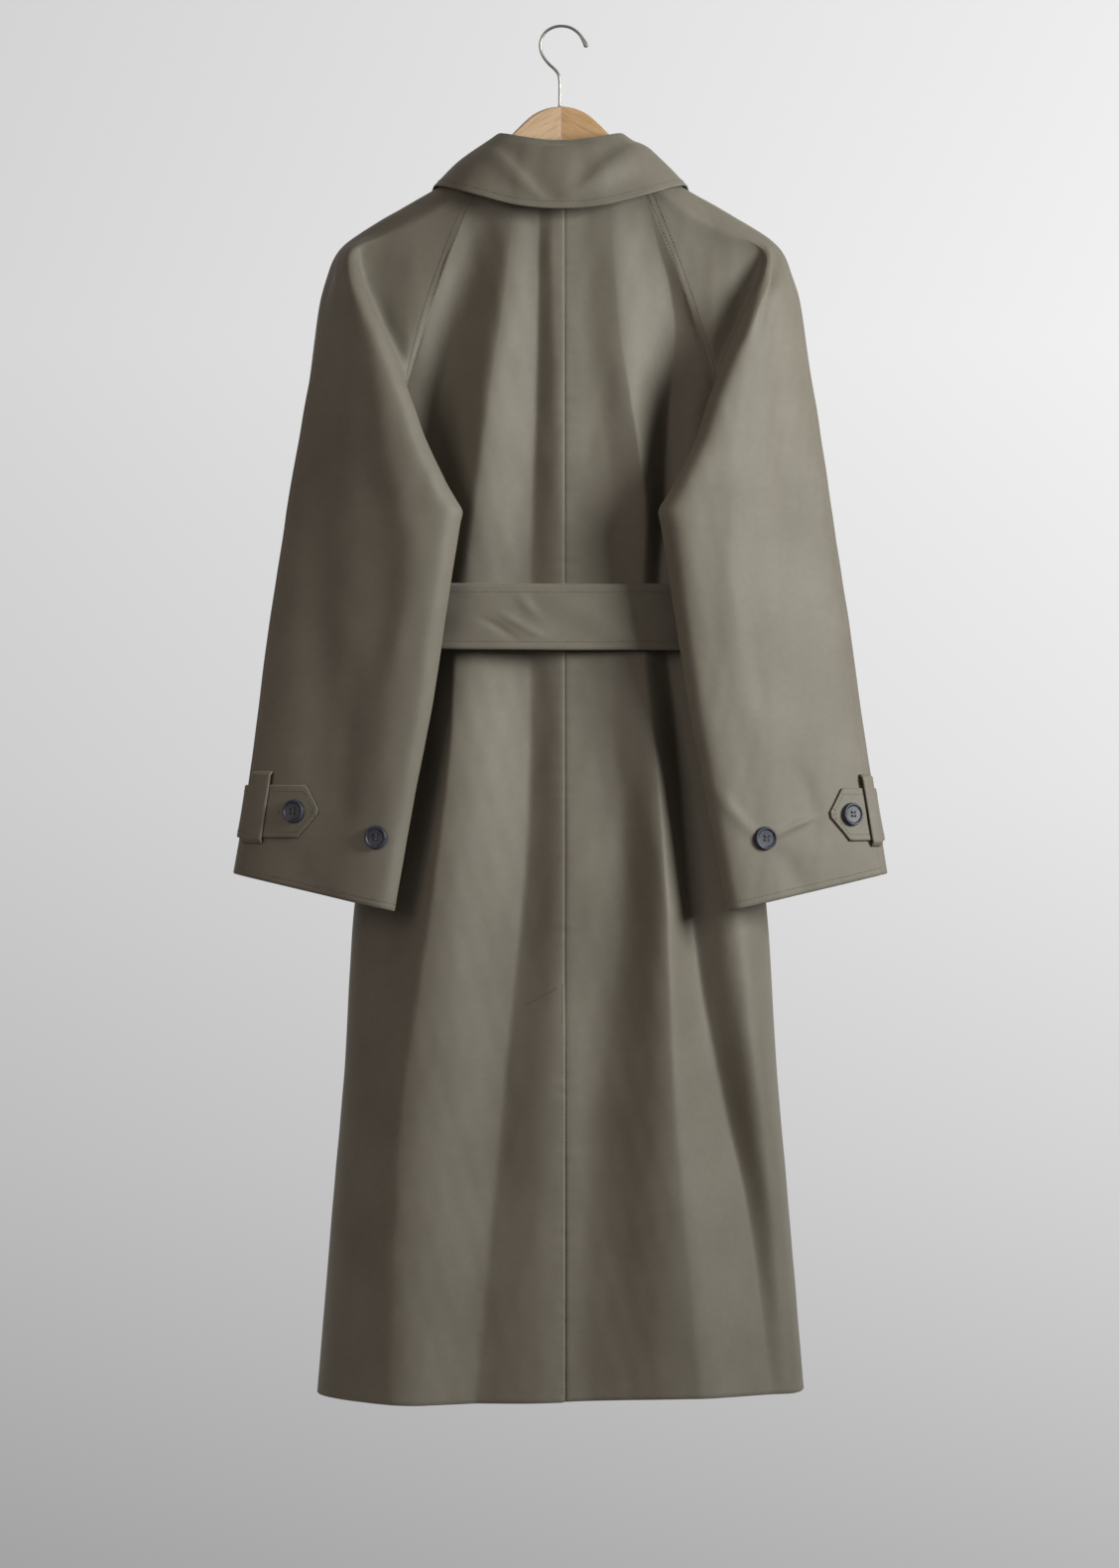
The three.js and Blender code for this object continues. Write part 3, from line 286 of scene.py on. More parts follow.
COLLAR_FOLDS = (
    (Crease(-112, 1, 3.0, 44, 34), Crease(-130, 2, 5.6, 34, 24), Crease(-150, 3, 5.0, 22, 18),
     Crease(-168, 4, 2.6, 12, 12), Crease(-178, 4, 0, 8, 10)),
    (Crease(-110, 78, 0, 12, 18), Crease(-122, 68, 4.0, 15, 22), Crease(-142, 46, 5.2, 15, 24),
     Crease(-160, 25, 3.6, 12, 18), Crease(-174, 10, 0, 10, 12)),
    (Crease(-118, -64, 0, 12, 9), Crease(-132, -56, 2.6, 14, 9), Crease(-152, -39, 3.0, 14, 9),
     Crease(-168, -23, 1.4, 10, 7), Crease(-176, -16, 0, 8, 6)),
)
BELT_FOLDS = (
    (Crease(-530, -122, 12, 26, 104), Crease(-600, -124, 12, 26, 104)),
    (Crease(-540, -40, 0, 8, 7), Crease(-556, -31, 1.6, 8, 5), Crease(-566, -22, 0.6, 8, 6),
     Crease(-574, -16, 0, 8, 6)),
    (Crease(-566, -76, 0, 6, 6), Crease(-574, -62, -1.7, 6, 5), Crease(-584, -47, -1.3, 7, 5),
     Crease(-592, -38, 0, 7, 6)),
    (Crease(-560, -58, 0, 6, 7), Crease(-568, -48, 1.5, 6, 6), Crease(-580, -28, 1.4, 7, 6),
     Crease(-588, -14, 0, 7, 6)),
)


# Arithmetic on whole arrays


def mix(start: Array | float, end: Array | float, share: Array | float) -> Array:
    """Straight blend from start to end."""
    return start + (np.asarray(end) - start) * share


def smooth(start: float, end: float, value: Array | float) -> Array:
    """Rises from 0 at start to 1 at end with level ends; start may be the larger."""
    t = np.clip((np.asarray(value, float) - start) / (end - start), 0.0, 1.0)
    return t * t * (3.0 - 2.0 * t)


def unit(vectors: Array) -> Array:
    """Vectors scaled to length 1 along the last axis."""
    length = np.linalg.norm(vectors, axis=-1, keepdims=True)
    return vectors / np.maximum(length, 1e-9)


class Track:
    """One column of a table, read along its key on a cubic curve through the rows."""

    def __init__(self, keys: Sequence[float], values: Sequence[float]) -> None:
        """Sorts the rows by key.

        Args:
            keys: where each value stands.
            values: the values.
        """
        order = np.argsort(keys)
        self.keys = np.asarray(keys, float)[order]
        self.values = np.asarray(values, float)[order]

    def __call__(self, at: Array | float) -> Array:
        """Reads the column: a Hermite cubic whose slopes are the chords of the rows either side.

        Args:
            at: places along the key, of any shape.

        Returns:
            The values there, held level beyond the ends.
        """
        k, v = self.keys, self.values
        inside = np.clip(np.asarray(at, float), k[0], k[-1])
        i = np.clip(np.searchsorted(k, inside, side="right") - 1, 0, len(k) - 2)
        before, after = np.maximum(i - 1, 0), np.minimum(i + 2, len(k) - 1)
        span = k[i + 1] - k[i]
        t = (inside - k[i]) / span
        low = (v[i + 1] - v[before]) / (k[i + 1] - k[before])
        high = (v[after] - v[i]) / (k[after] - k[i])
        t2, t3 = t * t, t * t * t
        ends = (2 * t3 - 3 * t2 + 1) * v[i] + (3 * t2 - 2 * t3) * v[i + 1]
        return ends + (t3 - 2 * t2 + t) * span * low + (t3 - t2) * span * high


def columns(rows: Sequence[NamedTuple], key: str) -> dict[str, Track]:
    """Tracks for every column of a table but its key.

    Args:
        rows: the table's rows.
        key: the column that the others are read along.

    Returns:
        A track for each column's name.
    """
    keys = [getattr(row, key) for row in rows]
    names = [name for name in rows[0]._fields if name != key]
    return {name: Track(keys, [getattr(row, name) for row in rows]) for name in names}


class Fold:
    """A fold that lifts cloth along a line, as a bell with its own width on each flank."""

    def __init__(self, rows: Sequence[Crease]) -> None:
        """Reads the fold's rows."""
        self.read = columns(rows, "z")

    def rise(self, x: Array, z: Array) -> Array:
        """Height of the fold: its rise times e to minus the squared share of a flank.

        Args:
            x: distance right of the centre.
            z: height, of the same shape.

        Returns:
            Heights off the cloth.
        """
        away = x - self.read["x"](z)
        width = np.where(away < 0, self.read["left"](z), self.read["right"](z))
        return self.read["rise"](z) * np.exp(-((away / width) ** 2))


class PleatedBack:
    """The relief of the back: a smooth curve across its ridge and hollow lines at each height."""

    def __init__(self, lines: dict[str, Sequence[Pleat]]) -> None:
        """Reads the lines, given from left to right."""
        self.lines = [columns(rows, "z") for rows in lines.values()]
        self.creased = [0.0, *(CREASED.get(name, 0.0) for name in lines), 0.0]

    def rise(self, x: Array, z: Array, half: Array) -> Array:
        """Height at x and z.

        Between two lines the height is a Hermite cubic. Its slope at a line is the harmonic mean
        of the chords either side, level where they have opposite signs, and nearer each chord's
        own where the line is creased.

        Args:
            x: distance right of the centre.
            z: height, of the same shape.
            half: half width of the body there, where the relief ends.

        Returns:
            Heights towards the viewer.
        """
        reach = 1.05 * half
        xs = np.stack([-reach, *(line["x"](z) for line in self.lines), reach])
        hs = np.stack([0 * z, *(line["height"](z) for line in self.lines), 0 * z])
        xs = np.maximum.accumulate(xs + 1e-3 * np.arange(len(xs)).reshape(-1, *[1] * z.ndim))
        chord = np.diff(hs, axis=0) / np.maximum(np.diff(xs, axis=0), 1.0)
        before, after = chord[:-1], chord[1:]
        level = np.zeros_like(chord[:1])
        with np.errstate(divide="ignore", invalid="ignore"):
            mean = np.where(before * after > 0, 2 * before * after / (before + after), 0)
        slope = np.concatenate([level, mean, level])
        height = 0 * x
        for i in range(len(xs) - 1):
            span = np.maximum(xs[i + 1] - xs[i], 1.0)
            t = (x - xs[i]) / span
            t2, t3 = t * t, t * t * t
            first = mix(slope[i], chord[i], self.creased[i])
            last = mix(slope[i + 1], chord[i], self.creased[i + 1])
            cubic = (2 * t3 - 3 * t2 + 1) * hs[i] + (3 * t2 - 2 * t3) * hs[i + 1]
            cubic = cubic + ((t3 - 2 * t2 + t) * first + (t3 - t2) * last) * span
            height = np.where((t >= 0) & (t < 1), cubic, height)
        return height


def ripples(a: Array, b: Array, length: float, stretch: float, seed: int, count: int = 10) -> Array:
    """Soft irregular waves: a sum of cosines with fixed random directions and phases.

    Args:
        a: position across the waves.
        b: position along them.
        length: typical wave length across, in mm.
        stretch: how many times longer the waves are along b.
        seed: picks the set of waves.
        count: number of cosines.

    Returns:
        Heights of about unit size.
    """
    draw = np.random.default_rng(seed)
    across = 2 * math.pi / length * draw.uniform(0.55, 1.35, count) * draw.choice([-1, 1], count)
    along = 2 * math.pi / (length * stretch) * draw.uniform(-1.2, 1.2, count)
    phase = draw.uniform(0, 2 * math.pi, count)
    waves = np.cos(a[..., None] * across + b[..., None] * along + phase)
    return waves.sum(-1) / math.sqrt(count)


def curve_points(controls: Array, spans: Array, shares: Array) -> Array:
    """Points on a centripetal curve through control points, a span and share for each column.

    Knots grow by the square root of each chord; the curve is three rounds of straight blends
    between its four nearest control points.

    Args:
        controls: control points, (count, rows, columns, 3).
        spans: span of each column.
        shares: share of the span for each column.

    Returns:
        Points, (rows, columns, 3).
    """
    first = 2 * controls[:1] - controls[1:2]
    last = 2 * controls[-1:] - controls[-2:-1]
    line = np.concatenate([first, controls, last])
    column = np.arange(len(spans))
    p0, p1, p2, p3 = (line[spans + k, :, column].transpose(1, 0, 2) for k in range(4))
    t1 = np.maximum(np.sqrt(np.linalg.norm(p1 - p0, axis=-1)), 1e-3)
    t2 = t1 + np.maximum(np.sqrt(np.linalg.norm(p2 - p1, axis=-1)), 1e-3)
    t3 = t2 + np.maximum(np.sqrt(np.linalg.norm(p3 - p2, axis=-1)), 1e-3)
    at = mix(t1, t2, shares)

    def blend(a: Array, b: Array, low: Array | float, high: Array) -> Array:
        """Straight blend of two rows of points between two knots."""
        return mix(a, b, ((at - low) / (high - low))[..., None])

    a1, a2, a3 = blend(p0, p1, 0.0, t1), blend(p1, p2, t1, t2), blend(p2, p3, t2, t3)
    return blend(blend(a1, a2, 0.0, t2), blend(a2, a3, t1, t3), t1, t2)


# Meshes


def add_object(
    name: str, vertices: Array, faces: Array | list, uv: Array | None = None
) -> bpy.types.Object:
    """Makes a smooth-shaded mesh object at the origin.

    Args:
        name: piece name.
        vertices: points in mm, (count, 3).
        faces: quads as an array, or a list of faces of any size.
        uv: one place in metres for each vertex, or None.

    Returns:
        The linked object.
    """
    mesh = bpy.data.meshes.new(name)
    if isinstance(faces, list):
        mesh.from_pydata((vertices * MM).tolist(), [], faces)
    else:
        mesh.vertices.add(len(vertices))
        mesh.vertices.foreach_set("co", (vertices * MM).astype(np.float32).ravel())
        mesh.loops.add(faces.size)
        mesh.loops.foreach_set("vertex_index", faces.astype(np.int32).ravel())
        mesh.polygons.add(len(faces))
        mesh.polygons.foreach_set("loop_start", np.arange(0, faces.size, 4, dtype=np.int32))
        mesh.update(calc_edges=True)
    mesh.polygons.foreach_set("use_smooth", np.ones(len(mesh.polygons), dtype=bool))
    if uv is not None:
        corner = np.empty(len(mesh.loops), dtype=np.int32)
        mesh.loops.foreach_get("vertex_index", corner)
        layer = mesh.uv_layers.new(name="cloth")
        layer.data.foreach_set("uv", uv[corner].astype(np.float32).ravel())
    mesh.update()
    piece = bpy.data.objects.new(name, mesh)
    bpy.context.scene.collection.objects.link(piece)
    return piece


def finish_piece(
    piece: bpy.types.Object, material: bpy.types.Material, slot: str, *nodes: str
) -> None:
    """Gives a piece its material and body, and lets it stand for its solids.

    Args:
        piece: the piece.
        material: its finish.
        slot: not used.
        nodes: the solids that it stands for.
    """
    piece.data.materials.append(material)
    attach(piece, ROOT)
    if nodes:
        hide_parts(*nodes)
    LOG.info("%s: %d faces", piece.name, len(piece.data.polygons))


@dataclass
class ClothPanel:
    """A wall of cloth over a grid of outer points, with a rounded raw edge.

    Fields: the piece's name, its grid of outer points (rows, columns, 3), the wall, whether the
    columns close into a ring, and the sign that turns the grid's own normal outwards.
    """

    name: str
    grid: Array
    outward: int
    wall: float = CLOTH
    closed: bool = False

    def directions(self) -> tuple[Array, Array]:
        """Differences of the grid across its columns and down its rows."""
        if self.closed:
            across = (np.roll(self.grid, -1, 1) - np.roll(self.grid, 1, 1)) / 2
        else:
            across = np.gradient(self.grid, axis=1)
        return across, np.gradient(self.grid, axis=0)

    def normals(self) -> Array:
        """Outward unit normals: across times down, turned by the panel's sign."""
        across, down = self.directions()
        return unit(np.cross(across, down)) * self.outward

    def displaced(self, lift: Array) -> "ClothPanel":
        """The panel with every point moved along its normal by lift, in mm."""
        moved = self.grid + self.normals() * lift[..., None]
        return ClothPanel(self.name, moved, self.outward, self.wall, self.closed)

    def arc(self) -> Array:
        """Arc lengths across and down the grid, as the panel's own flat pattern.

        Returns:
            Places in metres, (rows, columns, 2).
        """
        step = np.linalg.norm(np.diff(self.grid, axis=1), axis=-1)
        across = np.concatenate([np.zeros((len(step), 1)), np.cumsum(step, 1)], 1)
        across -= across.mean(1, keepdims=True)
        fall = np.linalg.norm(np.diff(self.grid, axis=0), axis=-1)
        down = np.concatenate([np.zeros((1, fall.shape[1])), np.cumsum(fall, 0)], 0)
        return np.stack([across, -down], -1) * MM

    def build(self) -> bpy.types.Object:
        """Makes the closed wall.

        It is the outer grid, the same grid moved in by the wall, and a bead between their edges
        at half the wall, pushed out by half the wall.

        Returns:
            The mesh object.
        """
        rows, cols = self.grid.shape[:2]
        normal = self.normals()
        across, down = (unit(d) for d in self.directions())
        inner = self.grid - normal * self.wall
        index = np.arange(rows * cols).reshape(rows, cols)
        if self.closed:
            here, there = index, np.roll(index, -1, 1)
        else:
            here, there = index[:, :-1], index[:, 1:]
        a, b, c, d = here[:-1], there[:-1], there[1:], here[1:]
        outer_faces = np.stack([a, b, c, d], -1).reshape(-1, 4)
        inner_faces = np.stack([a, d, c, b], -1).reshape(-1, 4) + rows * cols
        away = np.zeros_like(self.grid)
        away[0] -= down[0]
        away[-1] += down[-1]
        if self.closed:
            loops = [index[0], index[-1][::-1]]
        else:
            away[:, 0] -= across[:, 0]
            away[:, -1] += across[:, -1]
            rim = (index[0], index[1:, -1], index[-1, -2::-1], index[-2:0:-1, 0])
            loops = [np.concatenate(rim)]
        flat_outer, flat_inner = self.grid.reshape(-1, 3), inner.reshape(-1, 3)
        flat_away, flat_uv = unit(away.reshape(-1, 3)), self.arc().reshape(-1, 2)
        points, places = [flat_outer, flat_inner], [flat_uv, flat_uv]
        faces = [outer_faces, inner_faces]
        start = 2 * rows * cols
        for loop in loops:
            middle = (flat_outer[loop] + flat_inner[loop]) / 2
            points.append(middle + flat_away[loop] * self.wall / 2)
            places.append(flat_uv[loop])
            bead = np.arange(start, start + len(loop))
            start += len(loop)
            after, bead_after = np.roll(loop, -1), np.roll(bead, -1)
            faces.append(np.stack([after, loop, bead, bead_after], -1))
            faces.append(np.stack([bead_after, bead, loop + rows * cols, after + rows * cols], -1))
        quads = np.concatenate(faces)
        if self.outward < 0:
            quads = quads[:, ::-1]
        return add_object(self.name, np.concatenate(points), quads, np.concatenate(places))

    def line_path(
        self, start: tuple[float, float], end: tuple[float, float]
    ) -> tuple[Array, Array]:
        """A straight line across the panel, at the depth of the grid points nearest to it.

        Args:
            start: x and z of one end.
            end: x and z of the other end.

        Returns:
            Points and outward normals along the line.
        """
        share = np.linspace(0, 1, 24)[:, None]
        line = mix(np.array(start), np.array(end), share)
        away = np.hypot(*(
            self.grid[None, ..., axis] - line[:, None, None, k] for k, axis in enumerate((0, 2))
        ))
        near = away.reshape(len(line), -1).argmin(1)
        points = self.grid.reshape(-1, 3)[near].copy()
        points[:, 0], points[:, 2] = line[:, 0], line[:, 1]
        return points, self.normals().reshape(-1, 3)[near]

    def edge_path(self, edge: str, inset: float) -> tuple[Array, Array]:
        """A line on the panel at a distance in from one edge.

        Args:
            edge: left, right, top or bottom of the grid.
            inset: distance from the edge, in mm, measured along the cloth.

        Returns:
            Points and outward normals along the line.
        """
        grid, normal = self.grid, self.normals()
        if edge in ("top", "bottom"):
            grid, normal = grid.transpose(1, 0, 2), normal.transpose(1, 0, 2)
        if edge in ("right", "bottom"):
            grid, normal = grid[:, ::-1], normal[:, ::-1]
        step = np.linalg.norm(np.diff(grid, axis=1), axis=-1)
        reach = np.concatenate([np.zeros((len(step), 1)), np.cumsum(step, 1)], 1)
        j = np.clip((reach < inset).sum(1), 1, grid.shape[1] - 1)
        row = np.arange(len(grid))
        low, high = reach[row, j - 1], reach[row, j]
        share = ((inset - low) / np.maximum(high - low, 1e-6))[:, None]
        points = mix(grid[row, j - 1], grid[row, j], share)
        return points, unit(mix(normal[row, j - 1], normal[row, j], share))


def along_path(points: Array, values: Array, places: Array) -> tuple[Array, Array]:
    """Reads a path at arc lengths.

    Args:
        points: the path, (count, 3).
        values: what goes with each of its points, (count, 3).
        places: arc lengths to read it at, in mm.

    Returns:
        The points and the values there.
    """
    step = np.linalg.norm(np.diff(points, axis=0), axis=1)
    reach = np.concatenate([[0], np.cumsum(step)])
    return tuple(
        np.stack([np.interp(places, reach, data[:, k]) for k in range(3)], -1)
        for data in (points, values)
    )


@dataclass(frozen=True)
class Thread:
    """Sewing thread laid in stitches: pitch, length and thickness in mm, and how deep it lies."""

    pitch: float = 3.6
    length: float = 2.7
    thick: float = 0.62
    sunk: float = 0.12

    def stitches(self, points: Array, normals: Array) -> tuple[Array, Array]:
        """A small spindle for each stitch of a row, set along the path and half sunk.

        A spindle is rings of six points whose radius is the sine of their place along it to
        the power 0.4, lying along the path's own direction.

        Args:
            points: the row's path.
            normals: the cloth's normals along it.

        Returns:
            Vertices and quads.
        """
        step = np.linalg.norm(np.diff(points, axis=0), axis=1).sum()
        count = max(int(step / self.pitch), 1)
        places = (np.arange(count) + 0.5) * step / count
        middle, normal = along_path(points, normals, places)
        ahead, _ = along_path(points, normals, places + 0.4)
        behind, _ = along_path(points, normals, places - 0.4)
        along = unit(ahead - behind)
        normal = unit(normal)
        across = np.cross(along, normal)
        share = np.linspace(0.06, 0.94, 4)
        turn = np.arange(6) * math.pi / 3
        radius = (np.sin(math.pi * share) ** 0.4) * self.thick / 2
        shift = (share - 0.5) * self.length
        ring = shift[:, None, None] * along[:, None, None, :]
        wide = np.cos(turn)[:, None] * across[:, None, None, :]
        high = np.sin(turn)[:, None] * normal[:, None, None, :]
        around = radius[:, None, None] * (wide + high)
        base = (middle + normal * (self.thick / 2 - self.sunk))[:, None, None, :]
        vertices = (base + ring + around).reshape(-1, 3)
        index = np.arange(24).reshape(4, 6)
        after = np.roll(index, -1, 1)
        tube = np.stack([index[:-1], after[:-1], after[1:], index[1:]], -1).reshape(-1, 4)
        # Two quads close the hexagon at each end
        caps = np.array([[3, 2, 1, 0], [5, 4, 3, 0], [18, 19, 20, 21], [18, 21, 22, 23]])
        one = np.concatenate([tube, caps])
        quads = (one[None] + 24 * np.arange(count)[:, None, None]).reshape(-1, 4)
        return vertices, quads


@dataclass
class StitchBook:
    """Collects rows of stitches and makes them into one piece."""

    name: str
    thread: Thread = field(default_factory=Thread)
    rows: list[tuple[Array, Array]] = field(default_factory=list)

    def sew(self, path: tuple[Array, Array], start: float = 0.0, end: float = 1.0) -> None:
        """Adds a row along a path.

        Args:
            path: its points and the cloth's normals there.
            start: share of the path where the row starts.
            end: share of the path where it ends.
        """
        points, normals = path
        low, high = int(start * (len(points) - 1)), int(end * (len(points) - 1)) + 1
        self.rows.append(self.thread.stitches(points[low:high], normals[low:high]))

    def build(self, material: bpy.types.Material) -> None:
        """Joins the rows into one mesh and finishes it.

        Args:
            material: the thread's finish.
        """
        vertices, quads, start = [], [], 0
        for points, faces in self.rows:
            vertices.append(points)
            quads.append(faces + start)
            start += len(points)
        piece = add_object(self.name, np.concatenate(vertices), np.concatenate(quads))
        finish_piece(piece, material, "gabardine")


def loft(name: str, rings: Array) -> bpy.types.Object:
    """A closed solid through rings of points, with a face at each end.

    Args:
        name: piece name.
        rings: the rings in order, (rings, points, 3).

    Returns:
        The mesh object, its faces turned outwards.
    """
    count, around = rings.shape[:2]
    index = np.arange(count * around).reshape(count, around)
    after = np.roll(index, -1, 1)
    quads = np.stack([index[:-1], after[:-1], after[1:], index[1:]], -1).reshape(-1, 4)
    corners = rings.reshape(-1, 3)
    a, b, c = (corners[quads[:, k]] for k in range(3))
    volume = np.einsum("ij,ij->i", a - corners.mean(0), np.cross(b - a, c - a)).sum()
    faces = quads.tolist() + [index[0][::-1].tolist(), index[-1].tolist()]
    if volume < 0:
        faces = [face[::-1] for face in faces]
    return add_object(name, corners, faces)


# Materials


def linear(code: str) -> tuple[float, float, float, float]:
    """An sRGB hex colour as linear red, green, blue and alpha."""
    parts = [int(code[k : k + 2], 16) / 255 for k in (1, 3, 5)]
    return (*(p / 12.92 if p <= 0.04045 else ((p + 0.055) / 1.055) ** 2.4 for p in parts), 1.0)


def plug(tree: bpy.types.NodeTree, node: bpy.types.Node, **inputs: object) -> bpy.types.Node:
    """Fills a node's sockets.

    Args:
        tree: the material's node tree.
        node: the node.
        inputs: sockets by name with _ for spaces, or _ and a number; a socket is linked,
            anything else is set.

    Returns:
        The node.
    """
    for key, value in inputs.items():
        number = key[1:]
        socket = node.inputs[int(number) if number.isdigit() else key.replace("_", " ")]
        if isinstance(value, bpy.types.NodeSocket):
            tree.links.new(value, socket)
        else:
            socket.default_value = value
    return node


def add_node(
    tree: bpy.types.NodeTree, kind: str, settings: dict | None = None, **inputs: object
) -> bpy.types.Node:
    """Adds a shader node.

    Args:
        tree: the material's node tree.
        kind: the node's type name after ShaderNode.
        settings: properties of the node.
        inputs: its sockets, as in plug.

    Returns:
        The node.
    """
    node = tree.nodes.new(f"ShaderNode{kind}")
    for key, value in (settings or {}).items():
        setattr(node, key, value)
    return plug(tree, node, **inputs)


def ramp(
    tree: bpy.types.NodeTree, factor: bpy.types.NodeSocket, stops: Sequence[tuple[float, str]]
) -> bpy.types.NodeSocket:
    """A colour ramp.

    Args:
        tree: the material's node tree.
        factor: the value that picks the colour.
        stops: places from 0 to 1, each with its sRGB hex colour.

    Returns:
        The colour.
    """
    node = add_node(tree, "ValToRGB", None, Fac=factor)
    bar = node.color_ramp.elements
    while len(bar) < len(stops):
        bar.new(0.5)
    for element, (place, code) in zip(bar, stops):
        element.position = place
        element.color = linear(code)
    return node.outputs["Color"]


def noise(
    tree: bpy.types.NodeTree, place: bpy.types.NodeSocket, size: float, detail: float,
    **inputs: float,
) -> bpy.types.NodeSocket:
    """Cloudy noise.

    Args:
        tree: the material's node tree.
        place: coordinates in metres.
        size: size of its features in mm.
        detail: how many finer rounds it has.
        inputs: further sockets, as in plug.

    Returns:
        Values about 0.5.
    """
    node = add_node(tree, "TexNoise", None, Vector=place, Scale=per_mm(size), Detail=detail,
                    **inputs)
    return node.outputs["Fac"]


def weighted(
    tree: bpy.types.NodeTree, value: bpy.types.NodeSocket, weight: float,
    added: bpy.types.NodeSocket | float,
) -> bpy.types.NodeSocket:
    """A value times its weight, plus another."""
    node = add_node(tree, "Math", {"operation": "MULTIPLY_ADD"}, _0=value, _1=weight, _2=added)
    return node.outputs[0]


def ranged(
    tree: bpy.types.NodeTree, value: bpy.types.NodeSocket, low: float, high: float
) -> bpy.types.NodeSocket:
    """A value from 0 to 1 brought between low and high."""
    return add_node(tree, "MapRange", None, Value=value, To_Min=low, To_Max=high).outputs["Result"]


def bump(
    tree: bpy.types.NodeTree, height: bpy.types.NodeSocket, strength: float, depth: float
) -> bpy.types.NodeSocket:
    """A normal raised by height, with its full depth in mm."""
    node = add_node(tree, "Bump", None, Height=height, Strength=strength, Distance=depth * MM)
    return node.outputs["Normal"]


def new_material(name: str) -> tuple[bpy.types.Material, bpy.types.NodeTree, bpy.types.Node]:
    """An empty material.

    Args:
        name: its name.

    Returns:
        The material, its node tree and its shader.
    """
    material = bpy.data.materials.new(name)
    material.use_nodes = True
    tree = material.node_tree
    tree.nodes.clear()
    shader = add_node(tree, "BsdfPrincipled")
    add_node(tree, "OutputMaterial", None, Surface=shader.outputs["BSDF"])
    return material, tree, shader


def on_piece(tree: bpy.types.NodeTree) -> bpy.types.NodeSocket:
    """Places on the piece itself, in metres."""
    return add_node(tree, "TexCoord").outputs["Object"]


def per_mm(size: float) -> float:
    """Texture scale in metres for features of a size in mm."""
    return 1.0 / (size * MM)


@dataclass(frozen=True)
class Gabardine:
    """Combed cotton gabardine: tight, smooth, woven with a steep twill; a low soft sheen."""

    name: str = "cotton_gabardine_woven"
    dark: str = "#656056"
    middle: str = "#6c675d"
    light: str = "#736e64"
    bloom: str = "#cfc8b4"  # the fibres' own pale bloom, seen at a low angle
    rough: float = 0.62
    cloud_mm: float = 90.0
    slub_mm: float = 7.0
    twill_mm: float = 1.3  # the real ribs are 0.4 mm apart, too fine to show, so drawn coarser
    twill_turn: float = 63.0
    grain_mm: float = 0.9

    def make(self) -> bpy.types.Material:
        """Mottled colour from two noises, a diagonal rib and a fine grain as bump.

        Returns:
            The material.
        """
        material, tree, shader = new_material(self.name)
        uv = add_node(tree, "UVMap", {"uv_map": "cloth"}).outputs["UV"]
        cloud = noise(tree, on_piece(tree), self.cloud_mm, 4.0, Roughness=0.55)
        slub = noise(tree, uv, self.slub_mm, 3.0, Roughness=0.6)
        total = weighted(tree, cloud, 0.75, weighted(tree, slub, 0.25, 0.0))
        colour = ramp(tree, total, ((0.3, self.dark), (0.5, self.middle), (0.7, self.light)))
        turn = (0.0, 0.0, math.radians(self.twill_turn))
        turned = add_node(tree, "Mapping", None, Vector=uv, Rotation=turn).outputs["Vector"]
        # At a scale of 1 the wave has 10 / pi bands in a metre
        bands = per_mm(self.twill_mm) * math.pi / 10
        rib = add_node(tree, "TexWave", {"wave_type": "BANDS", "bands_direction": "X"},
                       Vector=turned, Scale=bands, Distortion=0.6, Detail=1.0)
        grain = noise(tree, uv, self.grain_mm, 2.0)
        relief = bump(tree, weighted(tree, rib.outputs["Fac"], 0.5, grain), 0.16, 0.4)
        plug(tree, shader, Base_Color=colour, Normal=relief, Roughness=self.rough,
             Sheen_Weight=0.22, Sheen_Roughness=0.45, Sheen_Tint=linear(self.bloom),
             Specular_IOR_Level=0.35)
        return material


@dataclass(frozen=True)
class SewingThread:
    """Spun polyester thread, dyed to the cloth and a touch darker in its shade."""

    name: str = "polyester_thread_spun"
    dark: str = "#5a5547"
    light: str = "#736d5c"
    ply_mm: float = 6.0

    def make(self) -> bpy.types.Material:
        """A small mottle along the thread and a soft plied bump.

        Returns:
            The material.
        """
        material, tree, shader = new_material(self.name)
        ply = noise(tree, on_piece(tree), self.ply_mm, 2.0)
        colour = ramp(tree, ply, ((0.3, self.dark), (0.7, self.light)))
        plug(tree, shader, Base_Color=colour, Normal=bump(tree, ply, 0.3, 0.2), Roughness=0.55)
        return material


@dataclass(frozen=True)
class ButtonResin:
    """Cast polyester resin, turned and tumbled: dark navy with faint horn-like clouds."""

    name: str = "cast_resin_tumbled"
    dark: str = "#20222c"
    light: str = "#3b4152"
    cloud_mm: float = 9.0
    fine_mm: float = 1.4

    def make(self) -> bpy.types.Material:
        """Clouded colour and a satin finish with a little unevenness.

        Returns:
            The material.
        """
        material, tree, shader = new_material(self.name)
        place = on_piece(tree)
        cloud = noise(tree, place, self.cloud_mm, 5.0, Distortion=1.2)
        colour = ramp(tree, cloud, ((0.35, self.dark), (0.68, self.light)))
        fine = noise(tree, place, self.fine_mm, 3.0)
        plug(tree, shader, Base_Color=colour, Roughness=ranged(tree, fine, 0.4, 0.56),
             Normal=bump(tree, fine, 0.12, 0.2))
        return material


